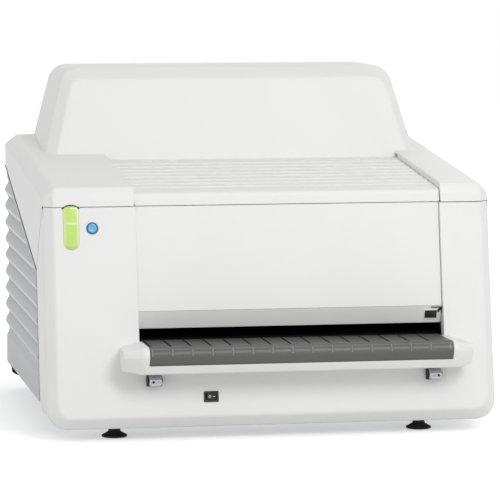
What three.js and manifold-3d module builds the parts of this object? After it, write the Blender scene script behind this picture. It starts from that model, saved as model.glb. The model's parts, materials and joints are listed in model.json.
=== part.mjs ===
// Tabletop phosphor plate scanner, in millimetres, +X right, +Y back, +Z up.
// Places are measured from the centre line, from the foot of the leaning front face (y = 0)
// and from the table (z = 0). The last lines move the whole to its own bottom centre.

import * as THREE from 'three';
import { ConvexGeometry } from 'three/addons/geometries/ConvexGeometry.js';
import { mergeVertices } from 'three/addons/utils/BufferGeometryUtils.js';
import Module from 'manifold-3d';

// Overall sizes
const LEFT_COLUMN = 140;
const RIGHT_COLUMN = 80;
const BAY_HALF = 235;
const SEAM_HEIGHT = 351;
const HOOD_RISE = 150;
const GUIDE_REAR = 384;
const ROLLER_SPACING = 116;
const WALL = 4;
const SEAM = 0.8;
const FIT = 0.35;
const OVERRUN = 6;
const SHEET = 2;
const ROUND_SIDES = 16;
const CORNER_STEPS = 6;

// Covers
const RIB_PROUD = 1.5;
const BODY_HALF = (LEFT_COLUMN + RIGHT_COLUMN) / 2 + BAY_HALF;
const BAY_OFFSET = (LEFT_COLUMN - RIGHT_COLUMN) / 2;
const WIDTH = (BODY_HALF + RIB_PROUD) * 2;
const BODY_FOOT = 20;
const FACE_LEAN_DEG = 10;
const FACE_CORNER = 22;
const SIDE_CORNER = 30;
const BEVEL_WIDTH = 15;
const BEVEL_DEPTH = 16;
const BEVEL_FOOT = 18;
const FACE_RISE = 15;
const FACE_TOP = SEAM_HEIGHT + FACE_RISE;
const CREST_RISE = 14.5;
const CREST_SETBACK = 7;
const TOP_SLOPE_DEG = 5.33;
const SHOULDER_WIDTH = 17;
const SHOULDER_DROP = 17;
const TOP_REAR_INSET = 50;
const SIDE_REAR_INSET = 32;
const REAR_SHOULDER = 26;
const REAR_DROP = 44;
const REAR_FOOT_RISE = 20;
const BEVEL_WALL_SHARE = 0.45;

// Side seams and side panels
const SIDE_BAND = 112;
const VERTEX_DROP = 102;
const VERTEX_HEIGHT = SEAM_HEIGHT - VERTEX_DROP;
const DIAGONAL_DEG = 15.9;
const SIDE_PANEL_FOOT = 49;
const SIDE_PANEL_WALL = 5;
const SIDE_HEM = 3;
const RIB_PITCH = 27.3;
const RIB_DEPTH = 6;
const RIB_TILT_DEG = 0.5;
const RIB_COUNT = 10;
const RIB_STEPS = 6;
const RIB_FOOT = 100.5;

// Rear hood
const HOOD_FOOT_RISE = 45;
const HOOD_FOOT = SEAM_HEIGHT + HOOD_FOOT_RISE;
const HEIGHT = HOOD_FOOT + HOOD_RISE;
const HOOD_FACE_INSET = 54;
const HOOD_FACE_HALF = BODY_HALF - HOOD_FACE_INSET;
const HOOD_FACE_AHEAD = 18.5;
const HOOD_FACE_Y = GUIDE_REAR - HOOD_FACE_AHEAD;
const HOOD_FACE_DROP = 17.5;
const HOOD_FACE_TOP = HEIGHT - HOOD_FACE_DROP;
const HOOD_SIDE_INSET = 38;
const HOOD_SIDE_HALF = BODY_HALF - HOOD_SIDE_INSET;
const HOOD_SIDE_LEAN_DEG = 15.2;
const HOOD_LEAN_DEG = 19.8;
const HOOD_BEVEL_DEPTH = 20;
const HOOD_FACE_CORNER = 20;
const HOOD_CORNER = 30;
const HOOD_REAR_INSET = 40;
const HOOD_REAR_BEVEL = 9;
const HOOD_OPEN_DROP = 26;

// Cassette bay, front panel and band
const COLUMN_RETURN = 20;
const PANEL_RECESS = 6;
const PANEL_WALL = 4;
const PANEL_GAP = 1.2;
const PANEL_RETURN = 14;
const TRAY_TOP = 150;
const BAND_RISE = 17;
const BAND_TALL = 27;
const BAND_FOOT = TRAY_TOP + BAND_RISE;
const BAND_TOP = BAND_FOOT + BAND_TALL;
const BAND_SLANT = 9;
const BAND_FLANGE = 16;
const WINDOW_WIDTH = 21;
const WINDOW_HEIGHT = 15;
const WINDOW_FROM_END = 5.5;
const WINDOW_FRAME = 3.2;
const WINDOW_PROUD = 1.5;

// Tray and shelf
const TRAY_OVERHANG = 61;
const TRAY_WALL = 4;
const TRAY_SIDE_GAP = 4.5;
const TRAY_HALF = BAY_HALF - TRAY_SIDE_GAP;
const TRAY_ROLL = 12;
const TRAY_LIP = 27;
const TRAY_FOOT = TRAY_TOP - TRAY_LIP;
const TRAY_REAR = 36;
const TRAY_LEAN_DEG = 28;
const GROOVE_COUNT = 15;
const GROOVE_PITCH = 30.15;
const GROOVE_START = 3.5;
const GROOVE_WIDTH = 1.8;
const GROOVE_DEPTH = 1.2;
const SHELF_TALL = 14.5;
const SHELF_FOOT = TRAY_FOOT - SHELF_TALL;
const SHELF_STEP = 1.2;
const WING_FLAT = 8;
const WING_REACH = 37;
const WING_ROOT = 34.5;
const WING_DROP = 8;
const WING_SETBACK = 24;
const WING_ROUND = 4;
const WING_TALL = 18.5;
const WING_FOOT_RISE = 3.5;
const WING_FOOT_SETBACK = 10;

// Centre lid and its hinges
const LID_OVERLAP = 1;
const LID_HALF = BAY_HALF + LID_OVERLAP;
const LID_GAP = 1;
const LID_WALL = 3.5;
const LID_FRONT_RECESS = 5;
const LID_CREASE_SETBACK = 8.2;
const LID_CREASE_RISE = 20.5;
const LID_CREASE = SEAM_HEIGHT + LID_CREASE_RISE;
const LID_ROUND = 6;
const LID_SLOPE_DEG = 5.5;
const LID_REAR_AHEAD = 20;
const LID_REAR = HOOD_FACE_Y - LID_REAR_AHEAD;
const LID_REAR_GAP = 2.5;
const LID_GROOVES = 8;
const LID_GROOVE_FRONT = 32;
const LID_GROOVE_REAR = 31.25;
const LID_GROOVE_WIDTH = 2.4;
const LID_GROOVE_DEPTH = 1.2;
const LEDGE = 6;
const LEDGE_WALL = 3;
const SILL_DROP = 12;
const HINGE_INSET = 86;
const HINGE_SPREAD = LID_HALF - HINGE_INSET;
const BARREL = 3.6;
const BARREL_LENGTH = 30;
const EAR_LENGTH = 10;
const HINGE_PIN = 1.8;
const PIN_CLEARANCE = 0.3;
const HINGE_AXIS_INSET = 4.5;
const HINGE_AXIS_DROP = 4;
const HINGE_NOTCH = 11;

// Status lens, button and power rocker
const LENS_INSET = 41.5;
const LENS_X = LENS_INSET - BODY_HALF;
const LENS_WIDTH = 23;
const LENS_TALL = 63;
const LENS_FOOT = SEAM_HEIGHT - LENS_TALL;
const LENS_PROUD = 3.5;
const LENS_DEEP = 9;
const ARCH_RISE = 4;
const ARCH_WIDTH = 29;
const HOLDER_DEPTH = 8;
const HOLDER_MARGIN = 5;
const BUTTON_RIGHT = 31.8;
const BUTTON_X = LENS_X + BUTTON_RIGHT;
const BUTTON_DROP = 31.5;
const BUTTON_HEIGHT = SEAM_HEIGHT - BUTTON_DROP;
const BUTTON_RADIUS = 7.6;
const BUTTON_PROUD = 2.6;
const BUTTON_TRAVEL = 1.8;
const RING_RADIUS = 9.6;
const RING_PROUD = 1;
const RING_FLANGE = 1.6;
const ROCKER_INSET = 106.5;
const ROCKER_X = BAY_OFFSET - BAY_HALF + ROCKER_INSET;
const ROCKER_HEIGHT = 66.6;
const ROCKER_FRAME_WIDTH = 22.4;
const ROCKER_FRAME_HEIGHT = 16.4;
const ROCKER_FRAME_WALL = 1.6;
const ROCKER_FRAME_PROUD = 1.2;
const ROCKER_DEEP = 24;
const ROCKER_PIVOT = 3.6;
const ROCKER_GAP = 1.1;
const ROCKER_TILT_DEG = 9;
const ROCKER_SWING = 5.4;

// Tray latches
const LATCH_INSET = 15.5;
const LATCH_SPREAD = TRAY_HALF - LATCH_INSET;
const LATCH_DROP = 16.5;
const LATCH_HEIGHT = SHELF_FOOT - LATCH_DROP;
const LATCH_BASE_WIDTH = 23;
const LATCH_BASE_HEIGHT = 17;
const LATCH_BASE_WALL = 3;
const LATCH_EAR = 3;
const LATCH_PIN_OUT = 13;
const LATCH_PIN = 1.6;
const LATCH_RADIUS = 8;
const LATCH_ARM = 9;

// Chassis
const PAN_INSET = 37;
const PAN_HALF = BODY_HALF - PAN_INSET;
const PAN_FRONT = 30;
const PAN_FLANGE = 34;
const CHASSIS_OUT = 10;
const CHASSIS_HALF = BAY_HALF + CHASSIS_OUT;
const CHASSIS_SHEET = 3;
const CHASSIS_FRONT = 72;
const ENTRY_BEHIND = 60;
const ENTRY_Y = GUIDE_REAR + ENTRY_BEHIND;
const EXIT_Y = ENTRY_Y + ROLLER_SPACING;
const SCAN_Y = (ENTRY_Y + EXIT_Y) / 2;
const CHASSIS_BEHIND = 44;
const CHASSIS_REAR = EXIT_Y + CHASSIS_BEHIND;
const CHASSIS_DROP = 21;
const CHASSIS_TOP = SEAM_HEIGHT - CHASSIS_DROP;
const CHASSIS_STEP_AHEAD = 8;
const CHASSIS_STEP_Y = GUIDE_REAR - CHASSIS_STEP_AHEAD;
const CHASSIS_STEP_RUN = 30;
const CHASSIS_STEP_RISE = 50;
const CHASSIS_REAR_TOP = CHASSIS_TOP + CHASSIS_STEP_RISE;
const REAR_SPACE = 36;
const REAR_Y = CHASSIS_REAR + REAR_SPACE;
const CHASSIS_FOOT_FLANGE = 8;

// Cassette guides and clamp
const GUIDE_FLANGE = 14;
const SLOT_HEIGHT = 18;
const UPPER_GUIDE_FRONT = 96;
const CLAMP_Y = 80;
const CLAMP_DEPTH = 16;
const CLAMP_HEIGHT = 14;
const CLAMP_TRAVEL = 10;
const CLAMP_TONGUE = 8;
const CLAMP_REACH = 9;

// Rollers, pulleys, belt and motor
const DRIVE_RADIUS = 14;
const PINCH_RADIUS = 12;
const NIP = 1;
const ROLLER_INSET = 27;
const ROLLER_HALF = CHASSIS_HALF - ROLLER_INSET;
const SHAFT_RADIUS = 4;
const SHAFT_HOLE = 7;
const BEARING_WALL = 6;
const BEARING_HALF = 11;
const SHAFT_CLEARANCE = 0.06;
const SHAFT_SIDES = 24;
const SHAFT_END = 7;
const PULLEY_RADIUS = 18;
const MOTOR_PULLEY_RADIUS = 12;
const PULLEY_WIDTH = 9;
const PULLEY_LIP = 2.2;
const PULLEY_LIP_WALL = 1.4;
const PULLEY_OUT = 9;
const BELT_WIDTH = 6;
const BELT_WALL = 1.6;
const MOTOR_Y = SCAN_Y;
const MOTOR_DROP = 68;
const MOTOR_HEIGHT = TRAY_TOP - MOTOR_DROP;
const MOTOR_SIZE = 56;
const MOTOR_LENGTH = 58;
const MOTOR_CORNER = 6;
const MOTOR_BOSS = 19;
const MOTOR_BOSS_HIGH = 1.6;

// Scan unit and eraser
const BRIDGE_TALL = 14;
const BRIDGE_HEIGHT = CHASSIS_REAR_TOP + BRIDGE_TALL;
const BRIDGE_AHEAD = 52;
const BRIDGE_FRONT = ENTRY_Y - BRIDGE_AHEAD;
const BRIDGE_BEHIND = 6;
const BRIDGE_REAR = EXIT_Y + BRIDGE_BEHIND;
const BRIDGE_FLANGE = 10;
const BEAM_SLOT = 30;
const BEAM_SLOT_INSET = 35;
const BEAM_SLOT_HALF = CHASSIS_HALF - BEAM_SLOT_INSET;
const HOUSING_INSET = 23;
const HOUSING_HALF = CHASSIS_HALF - HOUSING_INSET;
const HOUSING_DROP = 60;
const HOUSING_TOP = HEIGHT - HOUSING_DROP;
const HOUSING_AHEAD = 20;
const HOUSING_FRONT = ENTRY_Y - HOUSING_AHEAD;
const HOUSING_BEHIND = 2;
const HOUSING_REAR = EXIT_Y + HOUSING_BEHIND;
const LASER_INSET = 72;
const LASER_RADIUS = 13;
const LASER_LENGTH = 64;
const LASER_FOOT = 12;
const BEAM_RISE = 38;
const BEAM_HEIGHT = BRIDGE_HEIGHT + BEAM_RISE;
const BEAM_BEHIND = 34;
const BEAM_Y = SCAN_Y + BEAM_BEHIND;
const POLYGON_MOTOR_RADIUS = 24;
const POLYGON_MOTOR_HIGH = 22;
const MIRROR_RADIUS = 20;
const MIRROR_HIGH = 9;
const MIRROR_FACETS = 8;
const MIRROR_BORE = 4;
const FOLD_INSET = 32;
const FOLD_HALF = HOUSING_HALF - FOLD_INSET;
const FOLD_TALL = 34;
const FOLD_WALL = 4;
const FOLD_AHEAD = 44;
const FOLD_Y = SCAN_Y - FOLD_AHEAD;
const FOLD_DEG = 40;
const FOLD_BLOCK = 10;
const GUIDE_LOW = 8;
const LIGHT_INSET = 18;
const LIGHT_HALF = ROLLER_HALF - LIGHT_INSET;
const LIGHT_DROP = 62;
const LIGHT_TOP = CHASSIS_REAR_TOP - LIGHT_DROP;
const LIGHT_TOP_HALF = 22;
const LIGHT_WALL = 9;
const LIGHT_STANDOFF = 12;
const TUBE_RADIUS = 24;
const TUBE_LENGTH = 66;
const TUBE_RIM = 4;
const ERASER_AHEAD = 36;
const ERASER_Y = ENTRY_Y - ERASER_AHEAD;
const ERASER_DEPTH = 34;
const ERASER_HEIGHT = 52;
const ERASER_STANDOFF = 6;
const ERASER_INSET = 9;
const ERASER_HALF = CHASSIS_HALF - ERASER_INSET;
const LAMP_BAR_INSET = 21;
const LAMP_BAR_HALF = ERASER_HALF - LAMP_BAR_INSET;
const LAMP_BAR_DEPTH = 20;
const LAMP_BAR_HIGH = 6;
const LED_COUNT = 12;
const LED_SIZE = 7;
const LED_HIGH = 3;
const CHUTE_INSET = 20;
const CHUTE_HALF = CHASSIS_HALF - CHUTE_INSET;
const CHUTE_BEND = 34;
const CHUTE_BEHIND = 16;
const CHUTE_START = EXIT_Y + CHUTE_BEHIND;
const CHUTE_DROP = 46;
const CHUTE_TOP = HEIGHT - CHUTE_DROP;
const CHUTE_BRACKET = 14;

// Electrics
const SUPPLY_MARGIN = 3.65;
const SUPPLY_FRONT = 190;
const SUPPLY_LENGTH = 190;
const SUPPLY_HEIGHT = 82;
const SUPPLY_SLOTS = 8;
const SUPPLY_SLOT_WIDTH = 4;
const BOARD_FRONT = 180;
const BOARD_LENGTH = 200;
const BOARD_FOOT = 140;
const BOARD_HEIGHT = 150;
const BOARD_WALL = 1.6;
const STANDOFF = 8;
const STANDOFF_RADIUS = 3;
const STANDOFF_INSET = 8;
const FAN_INSET = 83;
const FAN_X = FAN_INSET - BODY_HALF;
const FAN_HEIGHT = 118;
const FAN_SIZE = 80;
const FAN_DEPTH = 25;
const FAN_BORE = 37;
const FAN_TIP = 35.5;
const FAN_HUB = 15;
const FAN_BLADES = 7;
const FAN_BLADE_WALL = 2;
const FAN_TWIST_DEG = 35;
const FAN_BLADE_SHARE = 0.8;
const FAN_SPOKE = 5;
const FAN_SPOKE_WALL = 3;
const VENT_COUNT = 9;
const VENT_PITCH = 9;
const VENT_WIDTH = 5;
const VENT_HEIGHT = 74;
const INLET_RIGHT = 112;
const INLET_X = FAN_X + INLET_RIGHT;
const INLET_HEIGHT = 78;
const INLET_WIDTH = 48;
const INLET_TALL = 28;
const INLET_DEEP = 26;
const INLET_FLANGE = 3;
const INLET_SOCKET_WIDTH = 24;
const INLET_SOCKET_TALL = 16;
const INLET_PIN = 1.8;
const INLET_PIN_SPREAD = 7;
const PORT_RIGHT = 54;
const PORT_X = INLET_X + PORT_RIGHT;
const PORT_WIDTH = 17;
const PORT_TALL = 15;
const PORT_DEEP = 20;
const PORT_WALL = 1.8;

// Feet
const FOOT_INSET = 108;
const FOOT_X = BODY_HALF - FOOT_INSET;
const FOOT_FRONT_Y = 68;
const FOOT_REAR_INSET = 68;
const FOOT_REAR_Y = REAR_Y - FOOT_REAR_INSET;
const FOOT_RADIUS = 19.5;
const FOOT_RIM = 3;
const FOOT_DOME = 9;
const FOOT_NECK = 9.2;
const FOOT_STEM = 5;
const FOOT_STEM_TOP = 44;
const NUT_RADIUS = 9;
const NUT_HIGH = 8;
const NUT_SIDES = 6;

// Places worked out from the sizes
const LEAN = Math.tan(THREE.MathUtils.degToRad(FACE_LEAN_DEG));
const TOP_SLOPE = Math.tan(THREE.MathUtils.degToRad(TOP_SLOPE_DEG));
const LID_SLOPE = Math.tan(THREE.MathUtils.degToRad(LID_SLOPE_DEG));
const DIAGONAL = Math.tan(THREE.MathUtils.degToRad(DIAGONAL_DEG));
const HOOD_LEAN = Math.tan(THREE.MathUtils.degToRad(HOOD_LEAN_DEG));
const HOOD_SIDE_LEAN = Math.tan(THREE.MathUtils.degToRad(HOOD_SIDE_LEAN_DEG));
const FAR = WIDTH + HEIGHT;
const FACE_HALF = BODY_HALF - BEVEL_WIDTH;
const TOP_HALF = BODY_HALF - SHOULDER_WIDTH;
const FACE_FOOT = BODY_FOOT + BEVEL_FOOT;
const faceY = (z) => (z - FACE_FOOT) * LEAN;
const CREST_Y = faceY(FACE_TOP) + CREST_SETBACK;
const topZ = (y) => FACE_TOP + CREST_RISE + (y - CREST_Y) * TOP_SLOPE;
const seamY = (z) => faceY(z) + SIDE_BAND;
const SIDE_REAR_Y = REAR_Y - SIDE_REAR_INSET;
const diagonalZ = (y) => VERTEX_HEIGHT + (y - seamY(VERTEX_HEIGHT)) * DIAGONAL;
const REAR_SEAM = diagonalZ(SIDE_REAR_Y);
const BAY_LEFT = BAY_OFFSET - BAY_HALF;
const BAY_RIGHT = BAY_OFFSET + BAY_HALF;
const LID_CREASE_Y = faceY(LID_CREASE) + LID_CREASE_SETBACK;
const LID_GROOVE_START = LID_CREASE_Y + LID_GROOVE_FRONT;
const LID_GROOVE_PITCH = (LID_REAR - LID_GROOVE_REAR - LID_GROOVE_START) / (LID_GROOVES - 1);
const lidZ = (y) => LID_CREASE + (y - LID_CREASE_Y) * LID_SLOPE;
const hoodY = (z) => HOOD_FACE_Y + (z - HOOD_FOOT) * HOOD_LEAN;
const SILL_Y = LID_REAR + LID_REAR_GAP;
const SILL_TOP = lidZ(SILL_Y);
const HINGE_Y = LID_REAR - HINGE_AXIS_INSET;
const HINGE_Z = lidZ(HINGE_Y) - HINGE_AXIS_DROP;
const LEDGE_REAR = HINGE_Y - BARREL; // clear of the lid's tail, which dips as the lid opens
const TRAY_SEAT = TRAY_TOP - TRAY_WALL;
const TRAY_LEAN = THREE.MathUtils.degToRad(TRAY_LEAN_DEG);
const ROLL_Y = TRAY_ROLL - TRAY_OVERHANG;
const ROLL_Z = TRAY_TOP - TRAY_ROLL;
const PATH_Z = TRAY_TOP + SLOT_HEIGHT / 2;
const CHASSIS_LEFT = BAY_OFFSET - CHASSIS_HALF;
const CHASSIS_RIGHT = BAY_OFFSET + CHASSIS_HALF;
const PAN_TOP = BODY_FOOT + WALL + FIT + SHEET;
const PAN_REAR = SIDE_REAR_Y - SEAM;
const DRIVE_Z = PATH_Z - NIP - DRIVE_RADIUS;
const PINCH_Z = PATH_Z + NIP + PINCH_RADIUS;

const wasm = await Module();
wasm.setup();

const scanner = new THREE.Group();

function toSolid(geometry) {
  const bare = geometry.clone();
  bare.deleteAttribute('normal');
  bare.deleteAttribute('uv');
  const merged = mergeVertices(bare);
  const vertProperties = new Float32Array(merged.attributes.position.array);
  const triVerts = new Uint32Array(merged.index.array);
  return new wasm.Manifold(new wasm.Mesh({ numProp: 3, vertProperties, triVerts }));
}

function toGeometry(solid) {
  const mesh = solid.getMesh();
  const geometry = new THREE.BufferGeometry();
  geometry.setAttribute('position', new THREE.BufferAttribute(new Float32Array(mesh.vertProperties), 3));
  geometry.setIndex(new THREE.BufferAttribute(new Uint32Array(mesh.triVerts), 1));
  geometry.computeVertexNormals();
  return geometry;
}

function material(color, roughness, metalness) {
  return new THREE.MeshStandardMaterial({ color, roughness, metalness });
}

const WHITE = () => material(0xebebe9, 0.45, 0);
const PANEL_GREY = () => material(0xb2b2b2, 0.6, 0);
const BAND_GREY = () => material(0xbebebc, 0.5, 0);
const TRAY_GREY = () => material(0x5d5d5d, 0.6, 0);
const BLACK = () => material(0x111111, 0.5, 0);
const RUBBER = () => material(0x1c1c1c, 0.9, 0);
const STEEL = () => material(0x9a9da0, 0.35, 1);
const CHROME = () => material(0xd5d7d9, 0.15, 1);
const ALUMINIUM = () => material(0xb9bcc0, 0.4, 1);
const LENS_GREEN = () => material(0xc8e282, 0.3, 0);
const BUTTON_BLUE = () => material(0x5aafe6, 0.3, 0);
const RING_BLUE = () => material(0x2f5f96, 0.4, 0);
const BOARD_GREEN = () => material(0x2c6b3f, 0.6, 0);
const CLEAR = () => material(0xdfe9ec, 0.1, 0);
const MIRROR = () => material(0xe9edf0, 0.05, 1);
const BRASS = () => material(0xc9a45a, 0.35, 1);
const NYLON = () => material(0xe6e2d6, 0.6, 0);

function add(name, solid, finish) {
  const mesh = new THREE.Mesh(toGeometry(solid), finish());
  mesh.name = name;
  scanner.add(mesh);
  return mesh;
}

function blockGeometry(x0, x1, y0, y1, z0, z1) {
  const geometry = new THREE.BoxGeometry(x1 - x0, y1 - y0, z1 - z0);
  return geometry.translate((x0 + x1) / 2, (y0 + y1) / 2, (z0 + z1) / 2);
}

const block = (...sides) => toSolid(blockGeometry(...sides));

function extrusion(points, length) {
  const shape = new THREE.Shape(points.map(([a, b]) => new THREE.Vector2(a, b)));
  return new THREE.ExtrudeGeometry(shape, { depth: length, bevelEnabled: false, curveSegments: ROUND_SIDES });
}

// An outline of [y, z] points drawn out along X.
function prismX(points, x0, x1) {
  const turn = new THREE.Matrix4().makeBasis(
    new THREE.Vector3(0, 1, 0), new THREE.Vector3(0, 0, 1), new THREE.Vector3(1, 0, 0));
  return toSolid(extrusion(points, x1 - x0).applyMatrix4(turn).translate(x0, 0, 0));
}

// An outline of [x, z] points drawn out along Y.
function prismY(points, y0, y1) {
  const geometry = extrusion(points, y1 - y0).rotateX(Math.PI / 2);
  return toSolid(geometry.translate(0, y1, 0));
}

function rodGeometry(radius, length, axis, sides = ROUND_SIDES) {
  const geometry = new THREE.CylinderGeometry(radius, radius, length, sides);
  if (axis === 'x') geometry.rotateZ(-Math.PI / 2);
  if (axis === 'z') geometry.rotateX(Math.PI / 2);
  return geometry;
}

// A round bar from start to end along an axis, with its centre line at the two other places.
function rod(radius, axis, start, end, a, b, sides) {
  const geometry = rodGeometry(radius, end - start, axis, sides);
  const middle = (start + end) / 2;
  if (axis === 'x') geometry.translate(middle, a, b);
  if (axis === 'y') geometry.translate(a, middle, b);
  if (axis === 'z') geometry.translate(a, b, middle);
  return toSolid(geometry);
}

const join = (solids) => solids.reduce((sum, solid) => sum.add(solid));
const convex = (points) => toSolid(new ConvexGeometry(points));
const mirrored = (solid) => toSolid(flipX(toGeometry(solid)));

function flipX(geometry) {
  const flipped = geometry.clone().scale(-1, 1, 1);
  const index = flipped.index.array;
  for (let i = 0; i < index.length; i += 3) {
    [index[i], index[i + 1]] = [index[i + 1], index[i]];
  }
  return flipped;
}

// A quarter round from the underside of a corner to its side, as [half width, height] points.
function cornerArc(half, foot, radius) {
  const points = [];
  for (let step = 0; step <= CORNER_STEPS; step += 1) {
    const turn = (step / CORNER_STEPS) * (Math.PI / 2);
    points.push([half - radius + radius * Math.sin(turn), foot + radius - radius * Math.cos(turn)]);
  }
  return points;
}

function arcPoints(a, b, radius, startDeg, endDeg, steps) {
  const points = [];
  for (let step = 0; step <= steps; step += 1) {
    const turn = THREE.MathUtils.degToRad(startDeg + ((endDeg - startDeg) * step) / steps);
    points.push([a + radius * Math.cos(turn), b + radius * Math.sin(turn)]);
  }
  return points;
}

// Pieces on the leaning front face: local x right, local y up the face, local z out of it.
const FACE_TURN = Math.PI / 2 - THREE.MathUtils.degToRad(FACE_LEAN_DEG);

function onFace(geometry, x, z) {
  return toSolid(geometry.rotateX(FACE_TURN).translate(x, faceY(z), z));
}

function seatOnFace(mesh, x, z) {
  mesh.rotation.x = FACE_TURN;
  mesh.position.set(x, faceY(z), z);
}

// The body without its hood, shrunk by an inset for the hollow.
function bodySolid(inset) {
  const points = [];
  const edge = inset * BEVEL_WALL_SHARE;
  const put = (x, y, z) => points.push(new THREE.Vector3(-x, y, z), new THREE.Vector3(x, y, z));
  for (const [x, z] of cornerArc(FACE_HALF - edge, FACE_FOOT + edge, FACE_CORNER)) {
    put(x, faceY(z) + inset, z);
  }
  for (const [x, z] of cornerArc(BODY_HALF - inset, BODY_FOOT + inset, SIDE_CORNER)) {
    put(x, faceY(z) + BEVEL_DEPTH + edge, z);
    put(x, SIDE_REAR_Y - edge, z);
  }
  const shoulder = FACE_TOP - edge;
  put(FACE_HALF - edge, faceY(shoulder) + inset, shoulder);
  put(BODY_HALF - inset, faceY(shoulder) + BEVEL_DEPTH + edge, topZ(CREST_Y) - SHOULDER_DROP - edge);
  const rearEdge = REAR_Y - TOP_REAR_INSET;
  put(TOP_HALF - edge, CREST_Y + edge, topZ(CREST_Y) - inset);
  put(TOP_HALF - edge, rearEdge - edge, topZ(rearEdge) - inset);
  put(BODY_HALF - inset, SIDE_REAR_Y - edge, topZ(SIDE_REAR_Y) - SHOULDER_DROP - edge);
  put(BODY_HALF - REAR_SHOULDER - edge, REAR_Y - inset, topZ(rearEdge) - REAR_DROP - edge);
  put(BODY_HALF - REAR_SHOULDER - edge, REAR_Y - inset, BODY_FOOT + REAR_FOOT_RISE + edge);
  return convex(points);
}

// The tall rear hood, with a wide bevel round its leaning front face.
function hoodSolid(inset, foot) {
  const points = [];
  const edge = inset * BEVEL_WALL_SHARE;
  const halfAt = (half, z) => half - (z - HOOD_FOOT) * HOOD_SIDE_LEAN;
  const outline = (half, top, radius, yOf) => {
    const put = (x, z) => points.push(
      new THREE.Vector3(-x, yOf(z), z), new THREE.Vector3(x, yOf(z), z));
    put(halfAt(half, foot), foot);
    const centre = halfAt(half, top - radius) - radius;
    for (const [x, z] of arcPoints(centre, top - radius, radius, 0, 90, CORNER_STEPS)) put(x, z);
  };
  const front = (z) => hoodY(z) + inset;
  outline(HOOD_FACE_HALF - edge, HOOD_FACE_TOP - edge, HOOD_FACE_CORNER, front);
  outline(HOOD_SIDE_HALF - inset, HEIGHT - inset, HOOD_CORNER, (z) => hoodY(z) + HOOD_BEVEL_DEPTH + edge);
  const rear = REAR_Y - HOOD_REAR_INSET;
  outline(HOOD_SIDE_HALF - inset, HEIGHT - inset, HOOD_CORNER, () => rear - HOOD_REAR_BEVEL - edge);
  outline(HOOD_SIDE_HALF - HOOD_REAR_BEVEL - edge, HEIGHT - HOOD_REAR_BEVEL - edge, HOOD_FACE_CORNER,
    () => rear - inset);
  return convex(points);
}

const bodyShell = bodySolid(0).subtract(bodySolid(WALL));

// Status lens outline: straight sides, round foot, arched top, as local face points.
const LENS_RADIUS = LENS_WIDTH / 2;
const LENS_CENTRE = (LENS_FOOT + SEAM_HEIGHT) / 2;
const LENS_HALF = (SEAM_HEIGHT - LENS_FOOT) / 2 / Math.cos(THREE.MathUtils.degToRad(FACE_LEAN_DEG));

function lensOutline(grow) {
  const half = LENS_RADIUS + grow;
  const foot = arcPoints(0, LENS_RADIUS - LENS_HALF, half, 180, 360, ROUND_SIDES / 2);
  return [...foot, [half, LENS_HALF + grow - SEAM], [-half, LENS_HALF + grow - SEAM]];
}

function frontFrame() {
  const low = -FAR;
  const zone = prismX([
    [-FAR, low], [seamY(low) - SEAM / 2, low], [seamY(VERTEX_HEIGHT) - SEAM / 2, VERTEX_HEIGHT],
    [faceY(SEAM_HEIGHT) + BEVEL_DEPTH, SEAM_HEIGHT - SEAM / 2], [-FAR, SEAM_HEIGHT - SEAM / 2],
  ], -WIDTH, WIDTH);
  const returns = [[BAY_LEFT - WALL, BAY_LEFT], [BAY_RIGHT, BAY_RIGHT + WALL]].map(([x0, x1]) => prismX([
    [faceY(TRAY_SEAT) + WALL / 2, TRAY_SEAT], [faceY(TRAY_SEAT) + COLUMN_RETURN, TRAY_SEAT],
    [faceY(SEAM_HEIGHT) + COLUMN_RETURN, SEAM_HEIGHT - SEAM / 2],
    [faceY(SEAM_HEIGHT) + WALL / 2, SEAM_HEIGHT - SEAM / 2],
  ], x0, x1));
  const bay = block(BAY_LEFT, BAY_RIGHT, -FAR, seamY(SEAM_HEIGHT), TRAY_SEAT - FIT, SEAM_HEIGHT);
  const frame = join([bodyShell.intersect(zone), ...returns]).subtract(bay);
  const cuts = [
    onFace(new THREE.ExtrudeGeometry(
      new THREE.Shape(lensOutline(FIT).map(([a, b]) => new THREE.Vector2(a, b))),
      { depth: OVERRUN * 4, bevelEnabled: false }).translate(0, 0, -OVERRUN * 3), LENS_X, LENS_CENTRE),
    block(LENS_X - LENS_RADIUS - FIT, LENS_X + LENS_RADIUS + FIT, -FAR, faceY(SEAM_HEIGHT) + WALL * 2,
      SEAM_HEIGHT - OVERRUN, SEAM_HEIGHT),
    onFace(rodGeometry(RING_RADIUS - RING_FLANGE + FIT, OVERRUN * 4, 'z'), BUTTON_X, BUTTON_HEIGHT),
    onFace(blockGeometry(
      -ROCKER_FRAME_WIDTH / 2 + ROCKER_FRAME_WALL - FIT, ROCKER_FRAME_WIDTH / 2 - ROCKER_FRAME_WALL + FIT,
      -ROCKER_FRAME_HEIGHT / 2 + ROCKER_FRAME_WALL - FIT, ROCKER_FRAME_HEIGHT / 2 - ROCKER_FRAME_WALL + FIT,
      -OVERRUN * 2, OVERRUN), ROCKER_X, ROCKER_HEIGHT),
  ];
  const trimmed = cuts.reduce((sum, cut) => sum.subtract(cut), frame);
  return join([trimmed, shelf(), wing(-1), wing(1)]);
}

// The tray's front face runs straight down and back from its roll; out is measured square to it.
const trayFace = (z, out) => ROLL_Y
  - (TRAY_ROLL + out + Math.sin(TRAY_LEAN) * (z - ROLL_Z)) / Math.cos(TRAY_LEAN);
const trayRoll = (radius) => arcPoints(ROLL_Y, ROLL_Z, radius, 90, 180 + TRAY_LEAN_DEG, CORNER_STEPS);

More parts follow.
